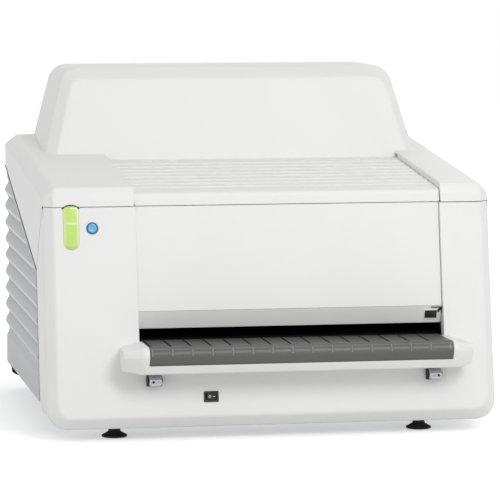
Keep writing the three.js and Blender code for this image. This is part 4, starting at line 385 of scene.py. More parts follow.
def rubber(name, dark, light, roughness=0.75):
    """Moulded or ground rubber: dull, with a fine pitted skin and a dusty bloom."""
    material, tree, surface, place = finish(name, light, roughness, IOR=1.5)
    bloom = add(tree, "ShaderNodeTexNoise", {"Vector": place, "Scale": 60.0, "Detail": 4.0})
    shade(tree, surface, bloom.outputs["Fac"], dark, light)
    pits = add(tree, "ShaderNodeTexNoise", {"Vector": place, "Scale": 1 / (1.2 * MM), "Detail": 1.0})
    emboss(tree, surface, pits.outputs["Fac"], 0.15 * MM, 0.5)
    return material


def zinc_plate(name="zinc_plated_steel"):
    """Zinc plated sheet steel: a cool grey metal whose crystals, some 5 mm wide, differ in gloss."""
    material, tree, surface, place = finish(name, "#B4B8BC", 0.38, Metallic=1.0)
    crystals = add(tree, "ShaderNodeTexVoronoi", {"Vector": place, "Scale": 1 / (5 * MM)})
    shade(tree, surface, crystals.outputs["Color"], "#A4A8AD", "#C2C6CA")
    vary_gloss(tree, surface, crystals.outputs["Distance"], 0.3, 0.5, end=0.8)
    return material


def drawn_metal(name, dark, light, roughness, across=(1.0, 60.0, 60.0)):
    """A rolled or turned metal: fine lines along one way, drawn 2 mm apart so that they show."""
    material, tree, surface, place = finish(name, light, roughness, Metallic=1.0)
    along = add(tree, "ShaderNodeMapping", {"Vector": place, "Scale": across})
    lines = add(tree, "ShaderNodeTexNoise", {"Vector": along.outputs["Vector"], "Scale": 8.0, "Detail": 3.0})
    shade(tree, surface, lines.outputs["Fac"], dark, light)
    emboss(tree, surface, lines.outputs["Fac"], 0.05 * MM, 0.3)
    return material


def tinted_lens(name="green_lens"):
    """Moulded green acrylic lit from behind: glossy, a little see-through, with a painted sheen along its thin
    rim and a painted highlight line across it."""
    material, tree, surface, place = finish(name, "#C6E07C", 0.16, IOR=1.49, Coat_Weight=0.5,
                                            Coat_Roughness=0.06, Emission_Strength=0.14)
    surface.inputs["Emission Color"].default_value = linear("#C2DE72")
    cloud = add(tree, "ShaderNodeTexNoise", {"Vector": place, "Scale": 45.0, "Detail": 2.0})
    shade(tree, surface, cloud.outputs["Fac"], "#ABD058", "#C2DA7C")
    known = opened(material)[2]
    sums(tree, known,
         ("across", "SUBTRACT", "X", LENS_X),
         ("off middle", "ABSOLUTE", "across"),
         ("over highlight", "SUBTRACT", "Z", LENS_HIGHLIGHT),
         ("off highlight", "ABSOLUTE", "over highlight"))
    # Painted light: a pale sheen along the rim and a highlight line across the lens
    for part, value, start, end, low, high in (("rim", "off middle", 7.4, 10.2, 0.0, 0.75),
                                               ("line", "off highlight", 0.8, 2.2, 0.5, 0.0)):
        known[part] = add(tree, "ShaderNodeMapRange", {
            "Value": known[value], "From Min": start * MM, "From Max": end * MM, "To Min": low,
            "To Max": high}).outputs["Result"]
    sums(tree, known, ("pale", "MAXIMUM", "rim", "line"))
    overlay(tree, surface, known["pale"], linear("#E6EDC0"))
    return material


def glossy(name, dark, light, roughness=0.2):
    """Unpainted polished plastic: an even colour under a clear sharp sheen, with slight orange peel."""
    material, tree, surface, place = finish(name, light, roughness, IOR=1.52, Coat_Weight=0.3)
    peel = add(tree, "ShaderNodeTexNoise", {"Vector": place, "Scale": 1 / (4 * MM), "Detail": 1.0})
    shade(tree, surface, peel.outputs["Fac"], dark, light)
    emboss(tree, surface, peel.outputs["Fac"], 0.04 * MM, 0.4)
    return material


def circuit_board(name="green_circuit_board"):
    """Solder mask over copper: green tracks a few millimetres apart under a satin lacquer."""
    material, tree, surface, place = finish(name, "#2B6B40", 0.35, IOR=1.5)
    tracks = add(tree, "ShaderNodeTexVoronoi", {"Vector": place, "Scale": 1 / (7 * MM)}, distance="MANHATTAN")
    edge = add(tree, "ShaderNodeMapRange", {
        "Value": tracks.outputs["Distance"], "From Min": 0.45, "From Max": 0.5}).outputs["Result"]
    shade(tree, surface, edge, "#245C37", "#3C8453")
    emboss(tree, surface, edge, 0.08 * MM, 0.5)
    return material


def hazy(name, colour, roughness, width, least, most, start=0.0, detail=2.0, **shader):
    """A clean hard surface whose gloss varies a little over marks of a width."""
    material, tree, surface, place = finish(name, colour, roughness, **shader)
    haze = add(tree, "ShaderNodeTexNoise", {"Vector": place, "Scale": 1 / width, "Detail": detail})
    vary_gloss(tree, surface, haze.outputs["Fac"], least, most, start)
    return material


FINISHES = {
    "white_plastic": moulded("white_moulded_abs", "#E6E6E4", "#EBEBE9", 0.5),
    "grey_plastic": ribbed_plastic(),
    "band_grey": moulded("band_grey_moulded_abs", "#E6E6E4", "#ECECEA", 0.5),
    "tray_grey": tray_plastic(),
    "black_plastic": moulded("black_moulded_abs", "#101011", "#17171A", 0.45),
    "foot_rubber": rubber("foot_rubber", "#0D0D0E", "#161617"),
    "roller_rubber": rubber("ground_roller_rubber", "#1F1F20", "#2A2A2B", 0.65),
    "zinc_steel": zinc_plate(),
    # Satin chrome plate: a greyish mirror, with a haze of wiping marks 12 mm wide
    "bright_chrome": hazy("bright_chrome", "#B0B2B4", 0.14, 12 * MM, 0.08, 0.24, detail=3.0, Metallic=1.0),
    "aluminium": drawn_metal("drawn_aluminium", "#B6B8BB", "#C6C8CB", 0.36),
    "bearing_brass": drawn_metal("turned_brass", "#B3924A", "#C9A75C", 0.3, (60.0, 8.0, 8.0)),
    "lens_green": tinted_lens(),
    "button_blue": glossy("blue_button_plastic", "#5AAEDA", "#6CBDE6"),
    "ring_blue": glossy("dark_blue_ring_plastic", "#34587A", "#3E6488", 0.3),
    "board_green": circuit_board(),
    "lamp_white": glossy("opal_lamp_glass", "#E9E7DD", "#F0EEE6", 0.25),
    # Polished clear acrylic, and front silvered glass with the faintest dust
    "clear_guide": hazy("clear_acrylic", "#EEF5F6", 0.05, 50 * MM, 0.03, 0.12, IOR=1.49, Transmission_Weight=0.85),
    "mirror_glass": hazy("silvered_mirror", "#E8EDEF", 0.03, 3 * MM, 0.02, 0.08, start=0.5, Metallic=1.0),
}
SLOT_OF = {piece["node"]: piece["material_slot"] for piece in frame["record"]["subparts"]}
BODY_OF = {node: body for body, nodes in frame["record"]["behaviour"]["bodies"].items() for node in nodes}


# Shaping

def link(name, data):
    """Puts a mesh, a lamp or a camera in the scene as an object at the origin."""
    piece = bpy.data.objects.new(name, data)
    bpy.context.scene.collection.objects.link(piece)
    return piece


def bake(piece, *modifiers):
    """Runs modifiers, given as (kind, settings), and keeps their result as a plain mesh."""
    for kind, settings in modifiers:
        modifier = piece.modifiers.new(kind.lower(), kind)
        for key, value in settings.items():
            setattr(modifier, key, value)
    bpy.context.view_layer.update()
    seen = piece.evaluated_get(bpy.context.evaluated_depsgraph_get())
    mesh = bpy.data.meshes.new_from_object(seen)
    piece.modifiers.clear()
    mesh.name = piece.name
    piece.data = mesh
    return piece


def dress(piece, slot, body="frame", *nodes):
    """Gives a finished piece its material, its slot and its body, in place of CAD nodes."""
    piece.data.materials.clear()
    piece.data.materials.append(FINISHES[slot])
    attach(piece, body)
    if nodes:
        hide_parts(*nodes)
    return piece


def ended(name, bm):
    """The mesh of a finished shape."""
    mesh = bpy.data.meshes.new(name)
    bm.to_mesh(mesh)
    bm.free()
    return mesh


def started(piece):
    """A piece's mesh, open for shaping."""
    bm = bmesh.new()
    bm.from_mesh(piece.data)
    return bm


def solid(name, bm, place=None, crease=40):
    """Ends a mesh: one closed skin, faces out, smooth but for its creases, put in its place."""
    bmesh.ops.remove_doubles(bm, verts=bm.verts, dist=0.002 * MM)
    bmesh.ops.recalc_face_normals(bm, faces=bm.faces)
    for face in bm.faces:
        face.smooth = True
    for edge in bm.edges:
        edge.smooth = not edge.is_manifold or degrees(edge.calc_face_angle()) < crease
    if place is not None:
        bm.transform(place)
    return ended(name, bm)


def loft(bm, rings, capped=True):
    """Joins rings of points, all as long as each other, into a skin; the two ends are closed."""
    rows = [[bm.verts.new(point) for point in ring] for ring in rings]
    count = len(rows[0])
    for low, high in zip(rows, rows[1:]):
        for i in range(count):
            j = (i + 1) % count
            bm.faces.new((low[i], low[j], high[j], high[i]))
    if capped:
        bm.faces.new(rows[0][::-1])
        bm.faces.new(rows[-1])
    return rows


def lofted(name, rings, place=None, crease=40, capped=True):
    """A piece skinned over rings of points, put in its place."""
    bm = bmesh.new()
    loft(bm, rings, capped)
    return link(name, solid(name, bm, place, crease))


def raised(name, rings, place, capped=True):
    """A piece made of outlines in millimetres, each with its height."""
    rings = [[(x * MM, y * MM, height * MM) for x, y in outline] for outline, height in rings]
    return lofted(name, rings, place, capped=capped)


def circle(radius, sides=24):
    """The outline of a circle, anticlockwise."""
    return [(radius * cos(turn), radius * sin(turn))
            for turn in (tau * i / sides for i in range(sides))]


def turned(name, profile, place, sides=48):
    """A round piece from its profile of (radius, height) in millimetres, from the foot's middle to the top's."""
    return raised(name, [(circle(max(radius, 0.02), sides), height) for radius, height in profile], place)


def inset(outline, amount):
    """An outline moved inwards, corner by corner; it runs anticlockwise."""
    count = len(outline)
    moved = []
    for i, point in enumerate(outline):
        before = (point - outline[i - 1]).normalized()
        after = (outline[(i + 1) % count] - point).normalized()
        inward = Vector((-(before + after).y, (before + after).x))
        lean = inward.normalized()
        reach = amount / max(0.3, lean.dot(Vector((-before.y, before.x))))
        moved.append(point + lean * reach)
    return moved


def pad(name, outline, foot, top, edge, place, steps=5):
    """A flat piece of an outline with a rounded rim, standing between two heights, in millimetres."""
    outline = [Vector(point) for point in outline]
    rings = [(outline, foot)]
    for step in range(steps + 1):
        turn = pi / 2 * step / steps
        rings.append((inset(outline, edge * (1 - cos(turn))), top - edge * (1 - sin(turn))))
    return raised(name, rings, place)


def rounded_box(half_wide, half_tall, corner, steps=4, middle=(0, 0)):
    """The outline of a rectangle with rounded corners, anticlockwise."""
    points = []
    for sx, sy, start in ((1, 1, 0), (-1, 1, 90), (-1, -1, 180), (1, -1, 270)):
        for step in range(steps + 1):
            turn = radians(start + 90 * step / steps)
            points.append((middle[0] + sx * (half_wide - corner) + corner * cos(turn),
                           middle[1] + sy * (half_tall - corner) + corner * sin(turn)))
    return points


def frame_ring(name, outer, inner, foot, top, edge, place):
    """A raised frame between two outlines of as many points, its rims rounded, in millimetres."""
    near, far = ([Vector(a).lerp(Vector(b), share) for a, b in zip(outer, inner)] for share in (0.25, 0.75))
    rings = ((outer, foot), (outer, top - edge), (near, top), (far, top), (inner, top - edge), (inner, foot),
             (outer, foot))
    return raised(name, rings, place, capped=False)


EVEN_SHADING = ("WEIGHTED_NORMAL", {"weight": 50, "keep_sharp": True})


def room_at(edge, corner):
    """How far a rounding may reach along the faces at one end of an edge."""
    along = edge.other_vert(corner).co - corner.co
    least = inf
    for face in edge.link_faces:
        for other in face.edges:
            if other is not edge and corner in other.verts:
                away = other.other_vert(corner).co - corner.co
                turn = along.angle(away, 0.0)
                if turn < STRAIGHT_ON:
                    least = min(least, ROOM_SHARE * away.length * sin(turn))
    return least


def skin(node, soft=SOFT_EDGE, crisp=CRISP_EDGE, segments=3, gentle=(12, 80), zones=(), nudge=None):
    """A CAD node again with real edges: broad where faces meet gently, fine where they are square, and none
    under the first of the gentle angles. A zone, (low corner, high corner, width), gives the edges in it their
    own rounding."""
    bm = started(frame["nodes"][node])
    bmesh.ops.remove_doubles(bm, verts=bm.verts, dist=0.02 * MM)
    bmesh.ops.dissolve_limit(bm, angle_limit=radians(0.8), verts=bm.verts, edges=bm.edges)
    if nudge:
        for corner in bm.verts:
            corner.co = nudge(corner.co)
    widest = max([soft] + [width for _, _, width in zones])
    weight = bm.edges.layers.float.new("bevel_weight_edge")
    for edge in bm.edges:
        if not edge.is_manifold:
            continue
        turn = degrees(edge.calc_face_angle())
        if turn < gentle[0]:
            continue
        wanted = crisp if turn > gentle[1] else soft
        middle = (edge.verts[0].co + edge.verts[1].co) / 2
        for low, high, width in zones:
            if all(a <= c <= b for a, c, b in zip(low, middle, high)):
                wanted = width
        given = min(wanted, room_at(edge, edge.verts[0]), room_at(edge, edge.verts[1]))
        if given < LEAST_EDGE:
            edge.smooth = turn < CREASED_FROM
        else:
            edge[weight] = given / widest
    for face in bm.faces:
        face.smooth = True
    piece = link(node + "_skin", ended(node + "_skin", bm))
    rounding = ("BEVEL", {"width": widest, "segments": segments, "limit_method": "WEIGHT",
                          "use_clamp_overlap": False, "miter_outer": "MITER_ARC"})
    return dress(bake(piece, rounding, EVEN_SHADING), SLOT_OF[node], BODY_OF[node], node)


def merged(name, *pieces):
    """Several plain pieces as one, each keeping its place."""
    bm = bmesh.new()
    for piece in pieces:
        bm.from_mesh(piece.data)
        bpy.data.objects.remove(piece)
    return link(name, ended(name, bm))


# Geometry Nodes

def sized_tree(name, sizes):
    """An empty Geometry Nodes tree, and its inputs as known values: a shape, named sizes (another piece where
    the size is None) and a finish."""
    tree = bpy.data.node_groups.new(name, "GeometryNodeTree")
    tree.interface.new_socket("Geometry", in_out="OUTPUT", socket_type="NodeSocketGeometry")
    kinds = {label: "Object" if value is None else "Float" for label, value in sizes.items()}
    for label, kind in {"Geometry": "Geometry", **kinds, "Finish": "Material"}.items():
        socket = tree.interface.new_socket(label, in_out="INPUT", socket_type="NodeSocket" + kind)
        if kind == "Float":
            socket.default_value = sizes[label]
    return tree, {socket.name: socket for socket in tree.nodes.new("NodeGroupInput").outputs}


def close_tree(tree, shape, material):
    """Makes a tree's result real, gives it its finish and sends it out."""
    real = add(tree, "GeometryNodeRealizeInstances", {"Geometry": shape})
    coloured = add(tree, "GeometryNodeSetMaterial", {"Geometry": real.outputs["Geometry"], "Material": material})
    add(tree, "NodeGroupOutput", {"Geometry": coloured.outputs["Geometry"]})
    return tree


def grown(piece, tree, **values):
    """The plain mesh that a Geometry Nodes tree makes of a piece, its inputs set by their identifiers."""
    modifier = piece.modifiers.new("growth", "NODES")
    modifier.node_group = tree
    for item in tree.interface.items_tree:
        if item.item_type == "SOCKET" and item.in_out == "INPUT" and item.name in values:
            modifier[item.identifier] = values[item.name]
    return bake(piece)


def repeated_tree():
    """Geometry Nodes that set a copy of another piece on every point, turned about its own X."""
    tree, known = sized_tree("repeated_copies", {"Tilt": 0.0, "Copy": None})
    copy = add(tree, "GeometryNodeObjectInfo", {"Object": known["Copy"]})
    tilt = add(tree, "ShaderNodeCombineXYZ", {"X": known["Tilt"]})
    rows = add(tree, "GeometryNodeInstanceOnPoints", {
        "Points": known["Geometry"], "Instance": copy.outputs["Geometry"], "Rotation": tilt.outputs["Vector"]})
    return close_tree(tree, rows.outputs["Instances"], known["Finish"])


def repeated(name, copy, places, slot, tilt=0.0):
    """Copies of a piece at places, as one plain mesh; the copied piece is used up."""
    points = bpy.data.meshes.new(name)
    points.from_pydata([tuple(place) for place in places], [], [])
    piece = grown(link(name, points), REPEATED, Tilt=tilt, Copy=copy, Finish=FINISHES[slot])
    bpy.data.objects.remove(copy)
    return piece


REPEATED = repeated_tree()


# Covers

def zone(middle, reach, near, far, width):
    """The edges within a reach of an x and between two corners (y, z), and their own rounding."""
    return (middle - reach, *near), (middle + reach, *far), width


def cover_skins():
    """The white mouldings, the rear cover and the front panel."""
    opening = [zone(x, 1.5 * MM, (-0.36, 0.152), (-0.2, 0.3505), OPENING_EDGE) for x in (BAY_LEFT, BAY_RIGHT)]
    skin("front_frame", zones=opening)
    crests = [zone(x, 2 * MM, (-0.2, 0.352), (0.09, 0.42), CREST_EDGE)
              for x in (BAY_LEFT - 2.5 * MM, BAY_RIGHT + 2.5 * MM)]
    corners = [zone(x, 7 * MM, (0.296, 0.413), (0.318, 0.431), HOOD_CORNER_EDGE) for x in (-0.292, 0.292)]
    skin("top_cover", zones=crests + corners)
    skin("rear_cover", nudge=lambda at: Vector((copysign(min(abs(at.x), REAR_COVER_HALF), at.x), at.y, at.z)))
    skin("front_panel", soft=1.2 * MM, nudge=closed_gap)


def closed_gap(at):
    """Brings the outer faces of the front panel and the lid up to what is beside them, to a hair's gap."""
    for before, after in CLOSED_GAPS:
        if abs(at.x - before) < 0.3 * MM:
            return Vector((after, at.y, at.z))
    return at


def slot_band():
    """The pale band over the slot: a plate that slants back, and its flange behind the front panel."""
    low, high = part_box("slot_band")
    back, top = high.y - BAND_SHEET, high.z - BAND_FLANGE
    lap = top - 1 * MM
    pieces = []
    for name, gap, section in (
            ("plate", 0.6 * MM, ((low.y, top), (back, low.z), (high.y, low.z), (high.y, top))),
            ("flange", 5.5 * MM, ((back, lap), (high.y, lap), (high.y, high.z), (back, high.z)))):
        bm = bmesh.new()
        loft(bm, [[(x, *point) for point in section] for x in (BAY_LEFT + gap, BAY_RIGHT - gap)])
        bmesh.ops.bevel(bm, geom=bm.edges[:], offset=0.6 * MM, segments=3, affect="EDGES", profile=0.5)
        pieces.append(link(name, solid(name, bm)))
    band = bake(merged("slot_band_plain", *pieces), EVEN_SHADING)
    dress(band, "band_grey", "frame", "slot_band")


def service_lid():
    """The centre lid, with eight low ridges across it that each rise at the front and fade behind."""
    skin("service_lid", nudge=closed_gap)
    section = ((0, -0.6), (0, 1.5), (0.3, 1.9), (1.0, 2.0), (16, 0.15), (16, -0.6))
    ridge = lofted("lid_ridge", [[(x, y * MM, z * MM) for y, z in section]
                                 for x in (BAY_LEFT + 1.5 * MM, BAY_RIGHT - 1.5 * MM)])
    places = [(0, y, LID_CREASE_Z + (y - LID_CREASE_Y) * tan(LID_SLOPE))
              for y in (RIDGE_FIRST + row * RIDGE_PITCH for row in range(RIDGE_COUNT))]
    dress(repeated("lid_ridges", ridge, places, "white_plastic", tilt=LID_SLOPE), "white_plastic", "lid")


def tray_section():
    """The tray's outline seen from its end: points (y, z), their outward ways, and what changes there.
    The last two say how much of a groove and of a roll's rib each point takes."""
    roll_y, roll_z = TRAY_FRONT + TRAY_ROLL, TRAY_TOP - TRAY_ROLL
    turns = [pi / 2 + (pi / 2 + TRAY_LEAN) * step / ROLL_STEPS for step in range(ROLL_STEPS + 1)]

    def face(z, out):
        return roll_y - (TRAY_ROLL + out + sin(TRAY_LEAN) * (z - roll_z)) / cos(TRAY_LEAN)

    rows = [(y, TRAY_TOP, 0, 1, 1, 0) for y in (TRAY_REAR, -300 * MM, -336.5 * MM)]
    for y, rise in ((-337.2, 0), (-337.6, 0), (-338, 0.7), (-339, 0.75), (-339.6, 0.1)):
        top = roll_z + sqrt(TRAY_ROLL ** 2 - min(0, y * MM - roll_y) ** 2)
        rows.append((y * MM, top + rise * MM, 0, 1, 0, 0))
    for step in range(2, ROLL_STEPS + 1):
        way = (cos(turns[step]), sin(turns[step]))
        reach = TRAY_ROLL + (0.5 * MM if step == 6 else 0)
        rib = 1 if 6 < step < 12 else 0.5 if step in (6, 12) else 0
        rows.append((roll_y + reach * way[0], roll_z + reach * way[1], *way, 0, rib))
    for z in (126 * MM, TRAY_FOOT + 0.6 * MM):
        rows.append((face(z, 0), z, -cos(TRAY_LEAN), -sin(TRAY_LEAN), 0, 0))
    for out in (-0.6 * MM, -TRAY_WALL):
        rows.append((face(TRAY_FOOT, out), TRAY_FOOT, 0, -1, 0, 0))
    reach = TRAY_ROLL - TRAY_WALL
    for turn in turns[::-3]:
        rows.append((roll_y + reach * cos(turn), roll_z + reach * sin(turn), 0, 0, 0, 0))
    rows.append((TRAY_REAR, TRAY_TOP - TRAY_WALL, 0, 0, 0, 0))
    return rows


def grooved_tree():
    """Geometry Nodes that press evenly spaced grooves into a tray and raise a rib below each."""
    tree, known = sized_tree("grooved_tray", {
        "First Groove": TRAY_LEFT + GROOVE_START, "Groove Pitch": GROOVE_PITCH, "Groove Width": GROOVE_WIDTH,
        "Groove Flank": GROOVE_FLANK, "Groove Depth": GROOVE_DEPTH, "Rib Height": RIB_HEIGHT,
        "Rib Half Width": RIB_HALF})
    for name, kind in (("grooved", "FLOAT"), ("ribbed", "FLOAT"), ("outward", "FLOAT_VECTOR")):
        mark = add(tree, "GeometryNodeInputNamedAttribute", {"Name": name}, data_type=kind)
        known[name] = mark.outputs["Attribute"]
    place = add(tree, "ShaderNodeSeparateXYZ", {"Vector": add(tree, "GeometryNodeInputPosition").outputs[0]})
    known["x"] = place.outputs["X"]
    sums(tree, known,
         ("from first", "SUBTRACT", "x", "First Groove"),
         ("half pitch", "MULTIPLY", "Groove Pitch", 0.5),
         ("away", "PINGPONG", "from first", "half pitch"),
         ("half width", "MULTIPLY", "Groove Width", 0.5),
         ("outer half", "ADD", "half width", "Groove Flank"))
    for name, start, end in (("inside", known["half width"], "outer half"), ("crest", 0.0, "Rib Half Width")):
        fading = add(tree, "ShaderNodeMapRange", {
            "Value": known["away"], "From Min": start, "From Max": known[end], "To Min": 1.0, "To Max": 0.0})
        known[name] = fading.outputs["Result"]
    sums(tree, known,
         ("groove", "MULTIPLY", "grooved", "Groove Depth"),
         ("sunk", "MULTIPLY", "groove", "inside"),
         ("rib", "MULTIPLY", "ribbed", "Rib Height"),
         ("raised", "MULTIPLY", "rib", "crest"),
         ("moved", "SUBTRACT", "raised", "sunk"))
    shift = add(tree, "ShaderNodeVectorMath", {0: known["outward"], "Scale": known["moved"]}, operation="SCALE")
    bent = add(tree, "GeometryNodeSetPosition", {"Geometry": known["Geometry"], "Offset": shift.outputs["Vector"]})
    return close_tree(tree, bent.outputs["Geometry"], known["Finish"])


def cassette_tray():
    """The tray: one rolled sheet with fifteen grooves, two fine beads at its roll and a rib under each groove."""
    rows = tray_section()
    ends = (TRAY_LEFT, TRAY_RIGHT)
    stations = {*ends, TRAY_LEFT + TRAY_END, TRAY_RIGHT - TRAY_END}
    for column in range(GROOVE_COUNT):
        x = TRAY_LEFT + GROOVE_START + column * GROOVE_PITCH
        stations.update((x, x + GROOVE_PITCH / 2))
        for reach in (GROOVE_WIDTH / 2, GROOVE_WIDTH / 2 + GROOVE_FLANK, RIB_HALF, RIB_CLEAR):
            stations.update((x - reach, x + reach))
    bm = bmesh.new()
    layers = bm.verts.layers
    grooved, ribbed = layers.float.new("grooved"), layers.float.new("ribbed")
    outward = layers.float_vector.new("outward")
    rings = []
    for x in sorted(x for x in stations if TRAY_LEFT <= x <= TRAY_RIGHT):
        back = 0.5 * MM if x in ends else 0
        rings.append([(x, y - way_y * back, z - way_z * back) for y, z, way_y, way_z, *_ in rows])
    for ring in loft(bm, rings):
        for vertex, (_, _, way_y, way_z, groove, rib) in zip(ring, rows):
            vertex[grooved], vertex[ribbed], vertex[outward] = groove, rib, (0, way_y, way_z)
    tray = grown(link("cassette_tray_rolled", solid("cassette_tray_rolled", bm)), grooved_tree(),
                 Finish=FINISHES["tray_grey"])
    tray.data = solid("cassette_tray_rolled", started(tray), crease=24)
    dress(tray, "tray_grey", "frame", "cassette_tray")


def ribbed_tree():
    """Geometry Nodes for a ribbed panel: a grid bent to the panel's outline and its rib profile."""
    tree, known = sized_tree("ribbed_panel", {
        "Foot": PANEL_FOOT, "Rear": PANEL_REAR, "Vertex": PANEL_VERTEX, "Rib Pitch": RIB_PITCH,
        "Rib Depth": RIB_DEPTH, "Rib Foot": RIB_FOOT, "Rib Tilt": RIB_TILT, "Rear Round": REAR_ROUND})
    grid = add(tree, "GeometryNodeMeshGrid", {"Size X": 1.0, "Size Y": 1.0, "Vertices X": 80, "Vertices Y": 330})
    share = add(tree, "ShaderNodeSeparateXYZ", {"Vector": add(tree, "GeometryNodeInputPosition").outputs[0]})
    known.update({"along share": share.outputs["X"], "up share": share.outputs["Y"]})
    seam_lean = tan(LEAN)
    seam_start = face_y(0) + SEAM_BEHIND_FACE + SEAM / 2
    flush, valley = PANEL_FLUSH - PANEL_VALLEY, VALLEY_SHARE * RIB_DEPTH
    sums(tree, known,
         ("from rear", "SUBTRACT", 0.5, "along share"),
         ("closer rear", "POWER", "from rear", GRID_CLOSER_REAR),
         ("along", "SUBTRACT", 1.0, "closer rear"),
         ("up", "ADD", "up share", 0.5),
         ("vertex y", "MULTIPLY_ADD", "Vertex", seam_lean, seam_start),
         ("top run", "SUBTRACT", "Rear", "vertex y"),
         ("peak", "MULTIPLY_ADD", "top run", DIAGONAL, "Vertex"),
         ("rise", "SUBTRACT", "peak", "Foot"),
         ("height", "MULTIPLY_ADD", "up", "rise", "Foot"),
         ("upright seam", "MULTIPLY_ADD", "height", seam_lean, seam_start),
         ("over vertex", "SUBTRACT", "height", "Vertex"),
         ("sloping seam", "MULTIPLY_ADD", "over vertex", 1 / DIAGONAL, "vertex y"),
         ("front", "MAXIMUM", "upright seam", "sloping seam"),
         ("run", "SUBTRACT", "Rear", "front"),
         ("depth", "MULTIPLY_ADD", "along", "run", "front"))
    count_ribs(tree, known, "Rib Tilt", "Rib Foot", "Rib Pitch")
    fade_rim(tree, known, "Vertex", "vertex y")
    sums(tree, known,
         ("fuller foot", "POWER", "share of rib", RIB_FULLER_FOOT),
         ("angle", "MULTIPLY", "fuller foot", pi),
         ("wave", "SINE", "angle"),
         ("sharper", "POWER", "wave", RIB_SHARPER),
         ("flat valleys", "MAXIMUM", "sharper", VALLEY_SHARE),
         ("ribbed", "MULTIPLY", "flat valleys", "Rib Depth"),
         ("rim share", "DIVIDE", "below seam", RIM_FALL),
         ("rim left", "SUBTRACT", 1.0, "rim share"),
         ("rim rise", "MULTIPLY", "rim left", flush),
         ("rim", "MAXIMUM", "rim rise", valley),
         ("over rim", "SUBTRACT", "ribbed", "rim"),
         ("rimmed", "MULTIPLY_ADD", "over rim", "ribs there", "rim"))
    foot = add(tree, "ShaderNodeMapRange", {
        "Value": known["ribs up"], "From Min": FOOT_FADE[0], "From Max": FOOT_FADE[1], "To Min": flush,
        "To Max": valley}, interpolation_type="SMOOTHSTEP")
    below = add(tree, "FunctionNodeCompare", {0: known["ribs up"], 1: 0.0}, operation="LESS_THAN")
    relief = add(tree, "GeometryNodeSwitch", {"Switch": below.outputs["Result"], "False": known["rimmed"],
                                              "True": foot.outputs["Result"]}, input_type="FLOAT")
    known["relief"] = relief.outputs["Output"]
    sums(tree, known,
         ("short of rear", "SUBTRACT", "Rear", "depth"),
         ("into round", "SUBTRACT", "Rear Round", "short of rear"),
         ("round share", "DIVIDE", "into round", "Rear Round"),
         ("started", "MAXIMUM", "round share", 0.0),
         ("round turn", "MINIMUM", "started", ROUND_MOST),
         ("squared", "MULTIPLY", "round turn", "round turn"),
         ("left over", "SUBTRACT", 1.0, "squared"),
         ("root", "SQRT", "left over"),
         ("fallen", "SUBTRACT", 1.0, "root"),
         ("back", "MULTIPLY", "fallen", "Rear Round"),
         ("full", "ADD", "relief", PANEL_VALLEY),
         ("out", "SUBTRACT", "full", "back"))
    place = add(tree, "ShaderNodeCombineXYZ", {"X": known["out"], "Y": known["depth"], "Z": known["height"]})
    bent = add(tree, "GeometryNodeSetPosition", {"Geometry": grid.outputs["Mesh"],
                                                 "Position": place.outputs["Vector"]})
    whole = add(tree, "GeometryNodeMergeByDistance", {"Geometry": bent.outputs["Geometry"],
                                                      "Distance": 0.01 * MM})
    return close_tree(tree, whole.outputs["Geometry"], known["Finish"])


def shadow_strip(name, side, route, half, rise, level):
    """A dark strip of painted shadow along a route (y, z) on a side: half its width, its height and how far
    out its foot lies.
    """
    soft = 0.3 * min(rise, half)
    rings = []
    for i, point in enumerate(route):
        ahead = (route[min(i + 1, len(route) - 1)] - route[max(i - 1, 0)]).normalized()
        across = Vector((ahead.y, -ahead.x))
        rings.append([(side * (level + out), *(point + across * wide)) for wide, out in (
            (-half, 0), (-half, rise - soft), (-half + soft, rise), (half - soft, rise), (half, rise - soft),
            (half, 0))])
    # The dark strip paints the shadow that lies in the seam
    dress(lofted(name, rings), "foot_rubber")


def seam_shadow_strips(side):
    """Dark strips of painted shadow behind the gap along a ribbed panel, with a thin blade, and along the white
    mouldings' own seam.
    """
    end = "_right" if side > 0 else "_left"
    start = face_y(0) + SEAM_BEHIND_FACE
    corner = start + PANEL_VERTEX * tan(LEAN)
    route = [Vector((start + z * tan(LEAN), z)) for z in (52 * MM, 120 * MM, 190 * MM, PANEL_VERTEX)]
    route += [Vector((y, PANEL_VERTEX + (y - corner) * DIAGONAL)) for y in (0.0, 0.12, 0.24, PANEL_REAR)]
    blade = [point + Vector((0.8, -0.9)) * MM for point in route]
    seam = [Vector((face_y(COVER_SEAM) + CORNER_DEPTH, COVER_SEAM)), Vector((corner, PANEL_VERTEX))]
    shadow_strip("edge_seal" + end, side, route, 4.5 * MM, 2 * MM, PANEL_VALLEY - 3.2 * MM)
    shadow_strip("seal_blade" + end, side, blade, 1.2 * MM, 6 * MM, PANEL_FLUSH - 5.93 * MM)
    shadow_strip("cover_seal" + end, side, seam, 0.8 * MM, 0.7 * MM, PANEL_FLUSH - 0.65 * MM)


def side_panels():
    """The two ribbed side panels, with a wall's thickness, a hem under them and painted shadow along their edge."""
    tree = ribbed_tree()
    for side, node in ((1, "side_panel_right"), (-1, "side_panel_left")):
        name = node + "_ribbed"
        sheet = grown(link(name, bpy.data.meshes.new(name)), tree, Finish=FINISHES["grey_plastic"])
        bm = started(sheet)
        low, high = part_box(node)
        inner = min(abs(low.x), abs(high.x))
        hem = bmesh.ops.create_cube(bm, matrix=Matrix.LocRotScale(
            Vector(((inner + PANEL_VALLEY) / 2, (low.y + high.y) / 2, PANEL_FOOT + 1.5 * MM)), None,
            Vector((PANEL_VALLEY - inner, high.y - low.y - 8 * MM, 3 * MM))))["verts"]
        bmesh.ops.bevel(bm, geom=list({e for v in hem for e in v.link_edges}), offset=0.5 * MM, segments=2,
                        affect="EDGES", profile=0.5)
        if side < 0:
            for vertex in bm.verts:
                vertex.co.x = -vertex.co.x
            bmesh.ops.reverse_faces(bm, faces=bm.faces)
        sheet.data = solid(name, bm, crease=70)
        thick = ("SOLIDIFY", {"thickness": PANEL_WALL, "offset": -1.0, "use_even_offset": True})
        dress(bake(sheet, thick), "grey_plastic", "frame", node)
        seam_shadow_strips(side)


# Fittings

